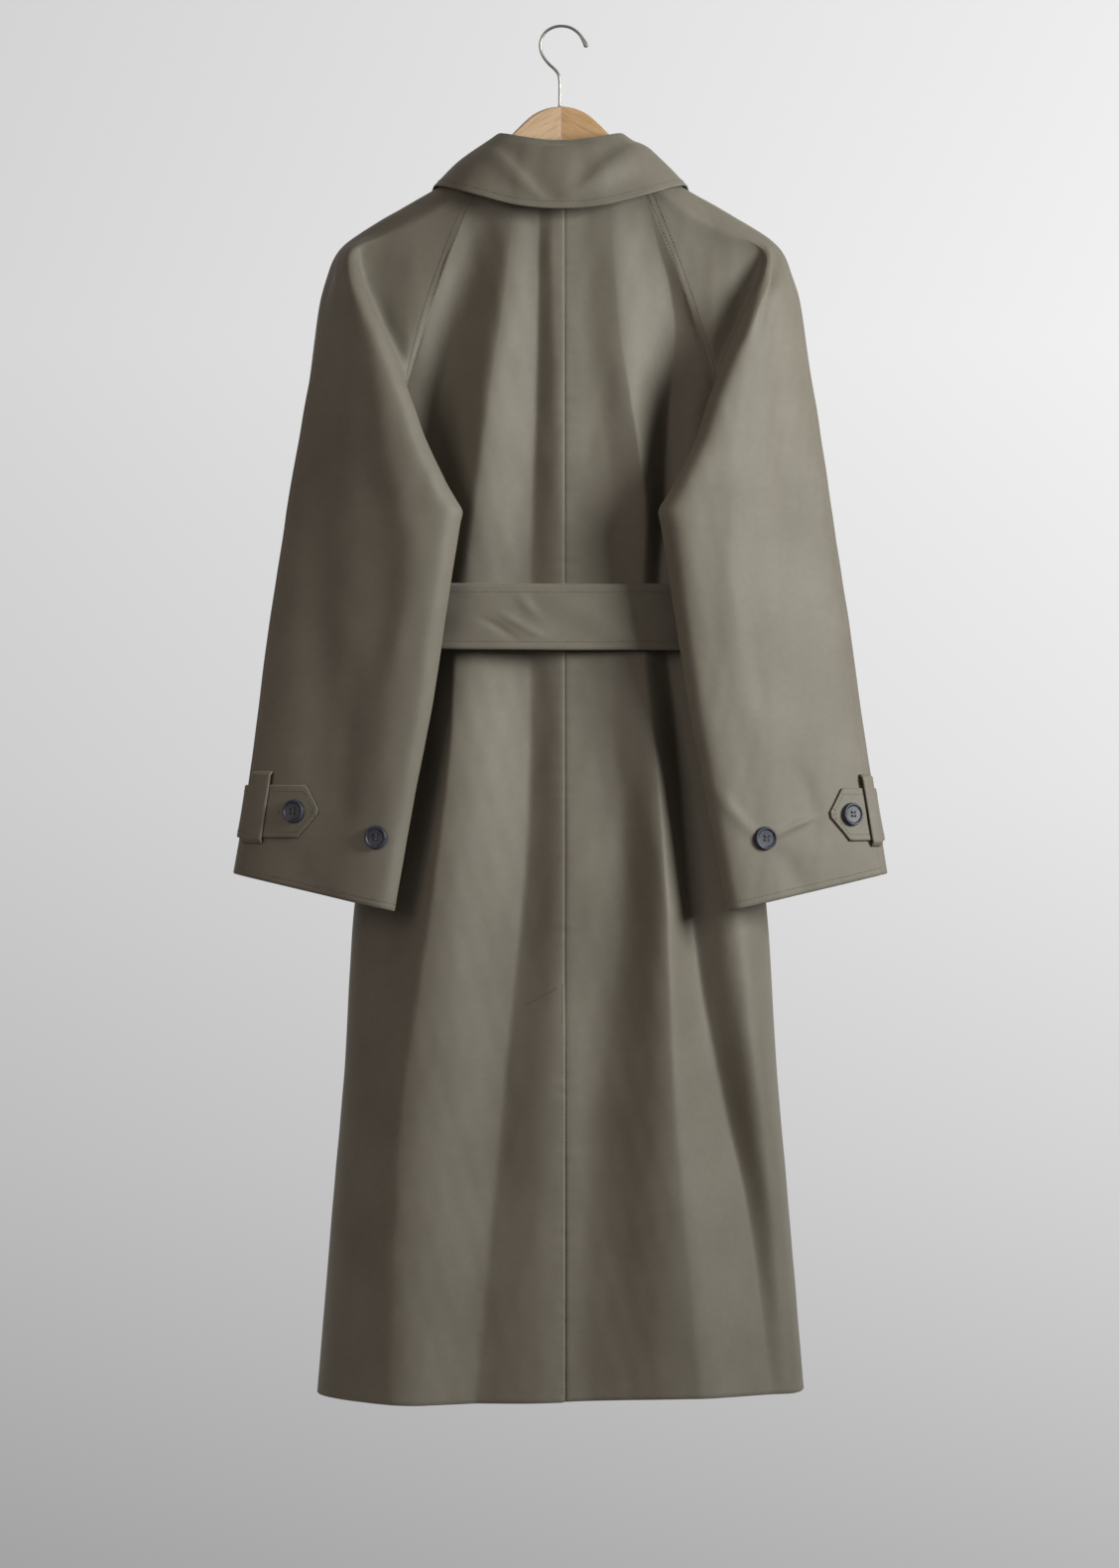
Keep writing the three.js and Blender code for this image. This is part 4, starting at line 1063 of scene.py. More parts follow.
@dataclass(frozen=True)
class HangerWood:
    """Planed beech under clear lacquer: pale, with fine lines running along the arm."""

    name: str
    pale: str
    warm: str
    line: str
    slope: float  # direction of the grain, in degrees below level
    stretch: float = 11.0  # how many times longer than wide its lines are
    line_mm: float = 3.2
    fleck_mm: float = 0.8

    def make(self) -> bpy.types.Material:
        """Long stretched noise for the grain, short dark flecks, and a lacquer coat.

        Returns:
            The material.
        """
        material, tree, shader = new_material(self.name)
        turned = add_node(tree, "Mapping", {"vector_type": "TEXTURE"}, Vector=on_piece(tree),
                          Scale=(self.stretch, 1.0, 1.0),
                          Rotation=(0.0, math.radians(self.slope), 0.0)).outputs["Vector"]
        grain = noise(tree, turned, self.line_mm, 5.0, Roughness=0.6, Distortion=0.5)
        total = weighted(tree, noise(tree, turned, self.fleck_mm, 2.0), 0.3, grain)
        colour = ramp(tree, total, ((0.5, self.line), (0.62, self.warm), (0.82, self.pale)))
        plug(tree, shader, Base_Color=colour, Normal=bump(tree, total, 0.15, 0.2),
             Roughness=0.42, Coat_Weight=0.3, Coat_Roughness=0.2)
        return material


@dataclass(frozen=True)
class HookWire:
    """Cold drawn steel wire, bright plated: fine drawing lines along it."""

    name: str = "steel_wire_drawn"
    tone: str = "#a3a19d"
    streak_mm: float = 1.5

    def make(self) -> bpy.types.Material:
        """Metal with a roughness that varies in fine streaks.

        Returns:
            The material.
        """
        material, tree, shader = new_material(self.name)
        streak = noise(tree, on_piece(tree), self.streak_mm, 4.0)
        plug(tree, shader, Base_Color=linear(self.tone), Metallic=1.0,
             Roughness=ranged(tree, streak, 0.34, 0.5))
        return material


# Coat


@dataclass(frozen=True)
class NeckSeam:
    """Sizes of the neck seam: an oval, highest at the shoulders and lowest at the front."""

    half: float = 84.0
    centre_y: float = -8.0
    back: float = 37.0
    front: float = 38.0
    square: float = 0.45
    back_z: float = -148.0
    shoulder_z: float = -127.0
    front_drop: float = 74.0
    blend: float = 24.0


NECK = NeckSeam()
# How far the body's oval is squared out towards its sides
SQUARE = 0.35


class CoatForm:
    """The form that every piece of the coat's body is cut from."""

    def __init__(self) -> None:
        """Reads the tables of rings, seams and folds."""
        self.ring = columns(BODY_RINGS, "z")
        self.hem_drop = Track(*zip(*HEM_LINE))
        self.raglan = Track(*zip(*RAGLAN_SEAM))
        self.pleats = PleatedBack(BACK_PLEATS)
        self.front_folds = [Fold(rows) for rows in FRONT_FOLDS.values()]

    def angle_at(self, x: Array | float, z: Array | float) -> Array:
        """The angle round the body, in degrees from the centre back, at which it stands at x."""
        return np.degrees(np.arcsin(np.clip(x / self.ring["half"](z), -1, 1)))

    def edge_angle(self, z: Array) -> Array:
        """The angle of the raglan seam, and of the side seam below the armpit."""
        return np.where(z > ARMPIT_Z, np.clip(self.raglan(z), 0, 90), 90.0)

    def hem_z(self, x: Array | float) -> Array:
        """Height of the hem at x."""
        return HEM_Z - self.hem_drop(x)

    def point(self, angle: Array | float, z: Array | float, lift: float = 0.0) -> Array:
        """Points of the outer surface.

        Across is half the ring's width times the sine of the angle; depth is the ring's depth
        times the cosine, squared out a little towards the sides, and the folds add to it.

        Args:
            angle: degrees from the centre back, positive to the right.
            z: height.
            lift: extra half width and depth.

        Returns:
            Points, with xyz along the last axis.
        """
        angle, z = np.broadcast_arrays(np.asarray(angle, float), np.asarray(z, float))
        across, facing = np.sin(np.radians(angle)), np.cos(np.radians(angle))
        x = (self.ring["half"](z) + lift) * across
        depth = np.where(facing > 0, self.ring["back"](z), self.ring["front"](z))
        y = -(depth + lift) * facing * (1 + SQUARE * across * across)
        back = self.pleats.rise(x, z, self.ring["half"](z))
        front = sum(fold.rise(x, z) for fold in self.front_folds)
        y -= np.where(facing > 0, back, 0) * np.sqrt(np.abs(facing))
        y += np.where(facing < 0, front, 0) * np.sqrt(np.abs(facing))
        return np.stack([x, y, z], -1)

    def neck(self, angle: Array | float) -> Array:
        """Points of the neck seam.

        Across is the half width times the sine of the angle, depth is the back's or front's
        times its cosine, squared out towards the sides. Height rises with the sixth power of
        the sine to the shoulder and falls with the cosine to the front.

        Args:
            angle: degrees round the neck from the centre back.

        Returns:
            Points, with xyz along the last axis.
        """
        turn = np.radians(np.asarray(angle, float))
        across, facing = np.sin(turn), np.cos(turn)
        behind = NECK.back_z + (NECK.shoulder_z - NECK.back_z) * across**6
        before = NECK.shoulder_z - NECK.front_drop * np.abs(np.minimum(facing, 0)) ** 1.2
        reach = np.where(facing > 0, NECK.back, NECK.front) * (1 + NECK.square * across * across)
        y = NECK.centre_y - reach * facing
        return np.stack([NECK.half * across, y, np.where(facing > 0, behind, before)], -1)

    @staticmethod
    def join_neck(points: Array, neck: Array, at_neck: Array) -> Array:
        """Moves a panel's top on to the neck seam, by its miss there, fading down as a bell.

        Args:
            points: the panel's points.
            neck: the neck seam's point for each of them.
            at_neck: the panel's own point at that height.

        Returns:
            The moved points.
        """
        fade = np.exp(-(((neck[..., 2] - points[..., 2]) / NECK.blend) ** 2))
        miss = neck - at_neck
        miss[..., 2] = 0
        return points + miss * fade[..., None]

    def front_y(self, x: Array | float, z: Array | float) -> Array:
        """Depth of the right front's outer face near the centre front."""
        return self.point(180 - self.angle_at(x, z), z)[..., 1] + LAP_LIFT


def cloth_life(x: Array, z: Array, seed: int) -> Array:
    """The small unevenness of hanging cotton: long soft waves and a fine short crumple, in mm."""
    long = ripples(x, z, 62, 7.0, seed)
    short = ripples(x, z, 24, 3.0, seed + 1)
    return 0.45 * long + 0.13 * short


def pucker(distance: Array, along: Array, seed: int) -> Array:
    """Seam pucker: short waves along a seam that die out within about 12 mm of it, in mm."""
    wave = ripples(along, along * 0, 13, 1.0, seed, 6)
    return 0.28 * wave * np.exp(-((distance / 9) ** 2)) - 0.5 * np.exp(-((distance / 1.6) ** 2))


@dataclass
class CoatBack:
    """The two backs, the vent and their stitching."""

    form: CoatForm
    rows: int = 330
    cols: int = 112
    neck_raglan: float = 59.9
    vent_lift: float = 1.4
    vent_open: float = 5.0
    underlap_gap: float = 1.1
    edge_row: tuple[float, float] = (0.66, 0.995)  # the part of the left edge that is topstitched
    stay_row: tuple[tuple[float, float], ...] = ((-35, -934), (-2, -916))  # the slanting row
    flat: tuple[float, float] = (0.262, 1.19)
    area: float = 0.262
    underlap_flat: tuple[float, float] = (0.044, 0.392)

    def surface(self, side: Side) -> ClothPanel:
        """One back: angle runs evenly from the centre back seam to the raglan or side seam.

        Args:
            side: which back.

        Returns:
            The panel.
        """
        u = np.linspace(0, 1, self.cols)[None, :]
        v = np.linspace(0, 1, self.rows)[:, None]
        form, sign = self.form, side.value

        def angle(z: Array) -> Array:
            """Angle of each column at height z."""
            seam = form.angle_at(CENTRE_BACK_X, z) + sign * SEAM
            return mix(seam, sign * (form.edge_angle(z) - SEAM), u)

        neck = form.neck(sign * self.neck_raglan * u)
        hem_x = form.point(angle(np.array(HEM_Z)), HEM_Z)[..., 0]
        z = mix(neck[..., 2], form.hem_z(hem_x), v)
        points = form.point(angle(z), z)
        if side is Side.LEFT:
            vent = smooth(VENT_TOP_Z + 10, VENT_TOP_Z - 60, z) * smooth(0.3, 0.05, u)
            apart = mix(self.vent_lift, self.vent_open, smooth(VENT_TOP_Z, HEM_Z, z))
            points[..., 1] -= apart * vent
        neck_row = np.broadcast_to(neck, points.shape)
        at_neck = form.point(angle(neck_row[..., 2]), neck_row[..., 2])
        points = form.join_neck(points, neck_row, at_neck)
        panel = ClothPanel(f"back_{side.word}_cloth", points, -1 if side is Side.RIGHT else 1)
        x, z = points[..., 0], points[..., 2]
        from_seam = np.abs(x - CENTRE_BACK_X)
        fade = smooth(0, 0.03, v) * smooth(0, 0.02, 1 - u)
        life = cloth_life(x, z, 11) * fade
        seam = pucker(from_seam, z, 5)
        return panel.displaced(life + seam)

    def underlap(self) -> ClothPanel:
        """The strip behind the left back's free edge, following it one cloth further in.

        Returns:
            The panel.
        """
        u = np.linspace(0, 1, 24)[None, :]
        v = np.linspace(0, 1, 150)[:, None]
        x = mix(CENTRE_BACK_X + 0.6, CENTRE_BACK_X - VENT_LAP, u)
        z = mix(VENT_TOP_Z, self.form.hem_z(x) + 1, v)
        points = self.form.point(self.form.angle_at(x, z), z)
        points[..., 1] += CLOTH + self.underlap_gap
        return ClothPanel("vent_underlap_cloth", points, 1)

    def build(self, cloth: bpy.types.Material, book: StitchBook) -> None:
        """Makes both backs and the underlap and sews the vent's rows.

        Args:
            cloth: the cloth's finish.
            book: where the stitches go.
        """
        for side in Side:
            panel = self.surface(side)
            piece = panel.build()
            finish_piece(piece, cloth, "gabardine", f"back_{side.word}")
            if side is Side.LEFT:
                book.sew(panel.edge_path("left", 2.0), *self.edge_row)
                book.sew(panel.line_path(*self.stay_row))
        lap = self.underlap().build()
        finish_piece(lap, cloth, "gabardine", "vent_underlap")


@dataclass
class CoatFront:
    """The two fronts, plain and single breasted, the right one on top."""

    form: CoatForm
    rows: int = 220
    cols: int = 70
    neck_span: tuple[float, float] = (120.1, 194.0)
    flat: tuple[float, float] = (0.30, 1.16)
    area: float = 0.29

    def surface(self, side: Side) -> ClothPanel:
        """One front: from the side or raglan seam past the centre front by the lap.

        Args:
            side: which front.

        Returns:
            The panel.
        """
        u = np.linspace(0, 1, self.cols)[None, :]
        v = np.linspace(0, 1, self.rows)[:, None]
        form, sign = self.form, side.value

        def angle(z: Array) -> Array:
            """Angle of each column at height z."""
            lap = 180 + np.abs(form.angle_at(FRONT_LAP, z))
            return sign * mix(180 - form.edge_angle(z) + SEAM, lap, u)

        neck = form.neck(sign * mix(*self.neck_span, u))
        hem_x = form.point(angle(np.array(HEM_Z)), HEM_Z)[..., 0]
        z = mix(neck[..., 2], form.hem_z(hem_x), v)
        points = form.point(angle(z), z)
        neck_row = np.broadcast_to(neck, points.shape)
        at_neck = form.point(angle(neck_row[..., 2]), neck_row[..., 2])
        points = form.join_neck(points, neck_row, at_neck)
        if side is Side.RIGHT:
            points[..., 1] += LAP_LIFT * smooth(FRONT_LAP + 26, FRONT_LAP + 6, points[..., 0])
        panel = ClothPanel(f"front_{side.word}_cloth", points, -1 if side is Side.RIGHT else 1)
        x, z = points[..., 0], points[..., 2]
        calm = smooth(20, 70, np.abs(x)) * smooth(0, 0.04, v) * smooth(0, 0.03, u)
        return panel.displaced(cloth_life(x, z, 31) * calm)

    def build(self, cloth: bpy.types.Material, book: StitchBook) -> None:
        """Makes both fronts and sews the front edge.

        Args:
            cloth: the cloth's finish.
            book: where the stitches go.
        """
        for side in Side:
            panel = self.surface(side)
            piece = panel.build()
            finish_piece(piece, cloth, "gabardine", f"front_{side.word}")
            if side is Side.RIGHT:
                book.sew(panel.edge_path("right", 6.0), 0.03, 0.995)


# Places round a sleeve's section, counted in control points: the shoulder seam and the end
SHOULDER_SPAN = 7
LAST_SPAN = 11
# Angle round the neck that each control point runs up to
NECK_STOPS = np.array([60, 61.5, 64, 67.5, 71, 75, 80, 86, 91, 98, 108, 120.0])


class SleeveForm:
    """The form of the raglan sleeves: sections whose control points run round the arm.

    Attributes: how far the seam's edge lies over the back, the ankle and heel of the fold at
    the armpit as a share of the way to its foot and a distance off the back, how far the seam
    is tucked forward there, and the heights of the cuff at its outer and inner corner.
    """

    lap = 0.2
    ankle = (0.09, 3.6)
    heel = (0.4, 6.0)
    tuck = 1.4
    cuff_z = (-842.0, -808.0)
    cuff_x = 157.0

    def __init__(self, form: CoatForm) -> None:
        """Reads the sections."""
        self.form = form
        self.read = columns(SLEEVE_ROWS, "z")
        self.folds = {side: [Fold(rows) for rows in SLEEVE_FOLDS[side]] for side in Side}

    def controls(self, side: Side, z: Array) -> Array:
        """The twelve control points of a sleeve at each height, with x counted outward.

        Args:
            side: which sleeve.
            z: heights, (rows, columns).

        Returns:
            Points, (12, rows, columns, 3).
        """
        at = {name: track(z) for name, track in self.read.items()}
        form, sign = self.form, side.value
        outward = np.array([sign, 1, 1])

        def pair(x: str, y: str) -> Array:
            """A control point from two columns."""
            return np.stack([at[x], at[y], z], -1)

        seam = form.edge_angle(z) + 0.1
        open_part = (z > ARMPIT_Z)[..., None]
        under = pair("under", "under_y")
        lapped = form.point(sign * (seam - 0.5), z) * outward - np.array([0, self.lap, 0])
        start = np.where(open_part, lapped, under - np.array([0.15, 0.15, 0]))
        closed = form.point(sign * (180 - seam), z) * outward
        end = np.where(open_part, closed, under + np.array([0.15, 0.15, 0]))
        foot, edge, nose, outer = (pair(n, n + "_y") for n in ("foot", "edge", "nose", "outer"))
        turned = smooth(-230, -330, z)
        on_body = turned * smooth(ARMPIT_Z - 100, ARMPIT_Z - 20, z)
        ankle, heel = (mix(start, foot, share) for share, _ in (self.ankle, self.heel))
        for place, (_, lift) in ((ankle, self.ankle), (heel, self.heel)):
            body_y = form.point(form.angle_at(place[..., 0] * sign, z), z)[..., 1] - lift
            place[..., 1] = mix(place[..., 1], np.minimum(place[..., 1], body_y), on_body)
        start[..., 1] -= self.tuck * on_body * smooth(ARMPIT_Z - 40, ARMPIT_Z, z)
        seam_share = 1 - np.clip(8 / (outer[..., 0] - nose[..., 0]), 0.05, 0.35)
        lifts = np.stack([at["bulge"], 3 + at["bulge"] * 0.3], 0)
        face = []
        even = (
            sum(self.read[name](z + step) for step in (-50, -25, 0, 25, 50)) / 5
            for name in ("nose", "nose_y")
        )
        calm = mix(nose, np.stack([*even, z], -1), smooth(-330, -400, z)[..., None])
        for share, lift in ((np.full_like(z, 0.45), lifts[0]), (seam_share, lifts[1])):
            place = mix(calm, outer, share[..., None])
            place[..., 0] += lift * 0.4
            place[..., 1] -= lift
            face.append(place)
        walls = []
        for share, reach in ((0.14, 0.7), (0.5, 1.0)):
            x = mix(outer[..., 0], end[..., 0], share)
            walls.append(np.stack([x, mix(outer[..., 1], at["wall_y"], reach), z], -1))
        return np.stack([start, ankle, heel, foot, edge, nose, *face, outer, *walls, end])

    def points(self, side: Side, s: Array, v: Array) -> Array:
        """Points of a sleeve, with x counted outward.

        Args:
            side: which sleeve.
            s: place round the section, in control points, one for each column.
            v: share of the way from neck to cuff, (rows, 1) or (rows, columns).

        Returns:
            Points, (rows, columns, 3).
        """
        span = np.clip(np.floor(s).astype(int), 0, LAST_SPAN - 1)
        share = s - span
        neck = self.form.neck(mix(NECK_STOPS[span], NECK_STOPS[span + 1], share))
        hem = curve_points(self.controls(side, np.full((1, len(s)), -825.0)), span, share)[0, :, 0]
        cuff = mix(*self.cuff_z, (hem - self.cuff_x) / self.cuff_x)
        v = np.broadcast_to(v, (v.shape[0], len(s)))
        z = mix(neck[:, 2], cuff, v)
        points = curve_points(self.controls(side, z), span, share)
        neck_z = np.broadcast_to(neck[:, 2], (1, len(s)))
        top = curve_points(self.controls(side, neck_z), span, share)
        top = np.broadcast_to(top, points.shape).copy()
        return self.form.join_neck(points, np.broadcast_to(neck, points.shape), top)

    def lift(self, side: Side, s: Array, points: Array) -> Array:
        """How far the small folds and the cloth's life move each point off the form.

        Args:
            side: which sleeve.
            s: place round the section for each column.
            points: the form's points, with x counted outward.

        Returns:
            Distances in mm, (rows, columns).
        """
        x, z = points[..., 0] * side.value, points[..., 2]
        on_face = smooth(3.6, 4.6, s) * smooth(7.7, 7.1, s)
        folds = sum(fold.rise(x, z) for fold in self.folds[side])
        life = cloth_life(x + points[..., 1] * 0.7, z, 51 + side.value)
        edges = smooth(0.0, 0.5, s) * smooth(LAST_SPAN, LAST_SPAN - 0.5, s)
        fade = smooth(-150, -200, z)
        return (folds * on_face + life * edges) * fade

    def fine(self, side: Side, s: Array, v: Array) -> tuple[Array, Array]:
        """The sleeve's outer surface with all its folds.

        Args:
            side: which sleeve.
            s: place round the section for each column.
            v: share of the way from neck to cuff, (rows, 1).

        Returns:
            Points and outward normals, (rows, columns, 3) each.
        """
        points = self.points(side, s, v)
        lift = self.lift(side, s, points)
        points = points * np.array([side.value, 1, 1])
        outward = -side.value if s[-1] > s[0] else side.value
        panel = ClothPanel("", points, outward).displaced(lift)
        return panel.grid, panel.normals()

    def round_at(self, side: Side, x: float, z: float) -> float:
        """The place round the section where the sleeve's face stands at x and z.

        Args:
            side: which sleeve.
            x: distance outward from the centre.
            z: height.

        Returns:
            The place, in control points.
        """
        s = np.linspace(5.0, 8.0, 500)
        grid, _ = self.fine(side, s, np.linspace(0.8, 1, 80)[:, None])
        rows = np.abs(grid[..., 2] - z).argmin(0)
        across = grid[rows, np.arange(len(s)), 0] * side.value
        return float(s[np.abs(across - x).argmin()])

    def cover(self, side: Side, s: Array, z: Array, lift: Array | float) -> tuple[Array, Array]:
        """A grid of points off the sleeve.

        Args:
            side: which sleeve.
            s: place round the section for each column.
            z: heights, (rows, columns).
            lift: distance off the cloth.

        Returns:
            Points and outward normals, (rows, columns, 3) each.
        """
        grid, normal = self.fine(side, s, np.linspace(0.72, 1, 160)[:, None])
        share = np.stack([
            np.interp(-z[:, j], -grid[:, j, 2], np.arange(len(grid))) for j in range(len(s))
        ], -1)
        low = np.clip(np.floor(share).astype(int), 0, len(grid) - 2)
        part = (share - low)[..., None]
        column = np.broadcast_to(np.arange(len(s)), low.shape)
        place = mix(grid[low, column], grid[low + 1, column], part)
        facing = unit(mix(normal[low, column], normal[low + 1, column], part))
        return place + facing * (np.asarray(lift) + 0 * z)[..., None], facing


@dataclass
class RaglanSleeve:
    """One sleeve: its back and front pieces and their topstitching."""

    form: SleeveForm
    side: Side
    rows: int = 260
    back_cols: int = 130
    front_cols: int = 64

    def panel(self, name: str, low: float, high: float, count: int) -> ClothPanel:
        """The part of the sleeve between two places round the section."""
        even = np.linspace(low, high, count)
        grid, _ = self.form.fine(self.side, even, np.linspace(0, 1, self.rows)[:, None])
        return ClothPanel(f"sleeve_{self.side.word}_{name}_cloth", grid, -self.side.value)

    def build(self, cloth: bpy.types.Material, book: StitchBook) -> None:
        """Makes both pieces and sews the double row at the raglan seam and the cuff's row.

        Args:
            cloth: the cloth's finish.
            book: where the stitches go.
        """
        back = self.panel("back", 0.0, SHOULDER_SPAN - 0.002, self.back_cols)
        front = self.panel("front", SHOULDER_SPAN + 0.002, LAST_SPAN, self.front_cols)
        for panel, node, flat, area in (
            (back, "back", (0.30, 0.76), 0.17), (front, "front", (0.20, 0.76), 0.09),
        ):
            piece = panel.build()
            finish_piece(piece, cloth, "gabardine", f"sleeve_{self.side.word}_{node}")
        for inset in (1.6, 7.0):
            book.sew(back.edge_path("left", inset), 0.03, 0.36)
        book.sew(front.edge_path("right", 1.6), 0.03, 0.45)
        book.sew(back.edge_path("bottom", 6.0), 0.16, 1.0)


@dataclass
class RolledCollar:
    """Collar of one sheet: the stand from the neck seam, the roll and the fall."""

    form: CoatForm
    end: float = 176.0
    roll: float = 4.5
    belly: float = 5.0
    cols: int = 260
    rows: int = 84
    stand_rows: tuple[int, int] = (15, 21)
    flat: tuple[float, float] = (0.60, 0.125)
    area: float = 0.062

    def surface(self) -> ClothPanel:
        """Six control points at each angle, joined by the centripetal curve.

        They are the neck seam, the inside of the roll, its top, its outside, the belly of the
        fall and the outer edge.

        Returns:
            The panel.
        """
        angle = np.linspace(-self.end, self.end, self.cols)
        turn = np.abs(angle)
        sign = np.where(angle < 0, -1.0, 1.0)
        read = {name: track(turn) for name, track in columns(COLLAR_ROWS, "angle").items()}
        out = np.stack([np.sin(np.radians(turn)), -np.cos(np.radians(turn)), 0 * turn], -1)
        neck = self.form.neck(turn) - out * CLOTH
        neck[:, 2] += 0.7
        fold = np.stack([read["fold_x"], read["fold_y"], read["fold_z"]], -1)
        leaf = np.stack([read["leaf_x"], read["leaf_y"], read["leaf_z"]], -1)
        inside = fold - out * self.roll * 0.9
        inside[:, 2] = fold[:, 2] - self.roll
        outside = mix(fold, leaf, 0.12) + out * self.roll * 0.6
        belly = mix(fold, leaf, 0.55) + out * self.belly
        belly[:, 2] = mix(fold[:, 2], leaf[:, 2], 0.52)
        controls = np.stack([neck, inside, fold, outside, belly, leaf])[:, :, None, :]
        stand, roll = self.stand_rows
        down = np.concatenate([
            np.linspace(0, 1, stand, endpoint=False), np.linspace(1, 3, roll, endpoint=False),
            np.linspace(3, 5, self.rows - stand - roll),
        ])
        line = np.repeat(controls, len(down), axis=2)
        span = np.clip(np.floor(down).astype(int), 0, 4)
        grid = curve_points(line, span, down - span).transpose(1, 0, 2)
        grid[..., 0] *= sign[None, :]
        panel = ClothPanel("collar_cloth", grid, -1)
        x, z = grid[..., 0], grid[..., 2]
        on_back = smooth(2.4, 3.2, down)[:, None] * smooth(12, -12, grid[..., 1])
        folds = sum(Fold(rows).rise(x, z) for rows in COLLAR_FOLDS)
        edge = smooth(5.0, 4.6, down)[:, None]
        life = cloth_life(angle[None, :] * 1.4, down[:, None] * 18, 71) * 0.6
        return panel.displaced(folds * on_back * edge + life * smooth(2.6, 3.4, down)[:, None])

    def build(self, cloth: bpy.types.Material, book: StitchBook) -> None:
        """Makes the collar and sews the row along its edge.

        Args:
            cloth: the cloth's finish.
            book: where the stitches go.
        """
        panel = self.surface()
        piece = panel.build()
        finish_piece(piece, cloth, "gabardine", "collar")
        book.sew(panel.edge_path("bottom", 6.0))


class KnotCrease(NamedTuple):
    """A crease across the knot: depth, how its line leans in x and z, its shift and width."""

    depth: float
    across: float
    up: float
    shift: float
    width: float


KNOT_CREASES = (
    KnotCrease(1.6, 0.5, 1, 4, 2.6), KnotCrease(1.3, 0.35, 1, -13, 2.2),
    KnotCrease(1.1, 1, -0.4, 7, 2.4),
)


@dataclass(frozen=True)
class KnotSize:
    """The knot: its middle, half its width and height, and how far it stands out, in mm."""

    y: float = 49.2
    z: float = -565.0
    half_wide: float = 25.0
    half_high: float = 29.0
    depth: float = 15.0
    rings: int = 60
    around: int = 90


class BeltEnd(NamedTuple):
    """One hanging end: the side it hangs on, where it leaves the knot, its lean and length."""

    word: str
    top_x: float
    lean: float
    length: float


BELT_ENDS = (BeltEnd("left", -22, -46, 262), BeltEnd("right", 22, 34, 300))


@dataclass
class WaistBelt:
    """The belt round the waist and its tie at the centre front."""

    form: CoatForm
    size: KnotSize = KnotSize()
    cols: int = 420
    rows: int = 26
    reach: float = 13.0
    clear: float = 1.2
    front_clear: float = 6.4
    dip: float = 2.5
    pinched: float = 36.0
    end_clear: float = 4.5
    stitch_inset: float = 6.5
    flat_length: float = 0.97

    def ring(self) -> ClothPanel:
        """The belt: a closed band at the body ring plus its clearance, flat over the folds.

        Returns:
            The panel.
        """
        angle = np.linspace(-180, 180, self.cols, endpoint=False)[None, :]
        v = np.linspace(0, 1, self.rows)[:, None]
        facing, across = np.cos(np.radians(angle)), np.sin(np.radians(angle))
        z = mix(BELT_TOP_Z, BELT_TOP_Z - BELT_WIDTH, v) - self.dip * np.maximum(facing, 0)
        off = BELT_CLOTH + self.clear
        read = self.form.ring
        back = read["back"](z) + self.reach * np.maximum(facing, 0) ** 0.6
        depth = np.where(facing > 0, back, read["front"](z) + self.front_clear)
        y = -(depth + off) * facing * (1 + SQUARE * across * across)
        grid = np.stack([(read["half"](z) + off) * across, y, z], -1)
        panel = ClothPanel("belt_cloth", grid, -1, BELT_CLOTH, True)
        x = grid[..., 0]
        dents = 0.5 * ripples(x, z * 2.0, 80, 1.0, 91) * smooth(0, 0.5, facing)
        creases = sum(Fold(rows).rise(x, z) for rows in BELT_FOLDS) * smooth(0, 0.3, facing)
        return panel.displaced(dents + creases)

    def end_strip(self, end: BeltEnd) -> ClothPanel:
        """One hanging end: a band that widens from the knot and lies against the front.

        Args:
            end: which end.

        Returns:
            The panel.
        """
        u = np.linspace(0, 1, 40)[None, :]
        v = np.linspace(0, 1, 130)[:, None]
        z = self.size.z - self.size.half_high - 0.4 - end.length * v + 0 * u
        width = mix(self.pinched, BELT_WIDTH, smooth(0, 0.35, v))
        x = end.top_x + end.lean * smooth(0, 1, np.minimum(v * 1.6, 1)) + (u - 0.5) * width
        over = smooth(0.28, 0, v) * 9
        pleat = 3.5 * np.cos(2 * math.pi * (u - 0.5)) * smooth(0.5, 0, v)
        y = self.form.front_y(x, z) + BELT_CLOTH + self.end_clear + over + pleat
        grid = np.stack([x, y, z], -1)
        return ClothPanel(f"belt_end_{end.word}_cloth", grid, 1, BELT_CLOTH)

    def knot(self) -> bpy.types.Object:
        """The knot: squarish rings, fuller on the outside, creased by the wrap across it.

        Returns:
            The mesh object.
        """
        size = self.size
        height = np.cos(math.pi * np.linspace(0.02, 0.98, size.rings))[:, None]
        turn = (np.arange(size.around) * 2 * math.pi / size.around)[None, :]
        girth = np.maximum(1 - height**4, 0.06) ** 0.5
        flat = np.sign(np.cos(turn)) * np.abs(np.cos(turn)) ** 0.7
        proud = np.maximum(np.sin(turn), -0.25) / 1.25 + 0.2
        x = size.half_wide * girth * flat
        up = size.half_high * height + 0 * turn
        fold = -sum(
            crease.depth
            * np.exp(-(((x * crease.across + up * crease.up - crease.shift) / crease.width) ** 2))
            for crease in KNOT_CREASES
        )
        y = size.y + (size.depth + fold * np.maximum(np.sin(turn), 0)) * girth * proud
        return loft("belt_knot_cloth", np.stack([x, y, size.z + up], -1))

    def build(self, cloth: bpy.types.Material, book: StitchBook) -> None:
        """Makes the belt, its ends and the knot, and sews their edges.

        Args:
            cloth: the cloth's finish.
            book: where the stitches go.
        """
        ring = self.ring()
        piece = ring.build()
        finish_piece(piece, cloth, "gabardine", "belt")
        for edge in ("top", "bottom"):
            book.sew(ring.edge_path(edge, self.stitch_inset))
        for end in BELT_ENDS:
            strip = self.end_strip(end)
            piece = strip.build()
            finish_piece(piece, cloth, "gabardine", f"belt_end_{end.word}")
            for edge in ("left", "right", "bottom"):
                book.sew(strip.edge_path(edge, self.stitch_inset), 0.04, 0.96)
        finish_piece(self.knot(), cloth, "gabardine", "belt_knot")


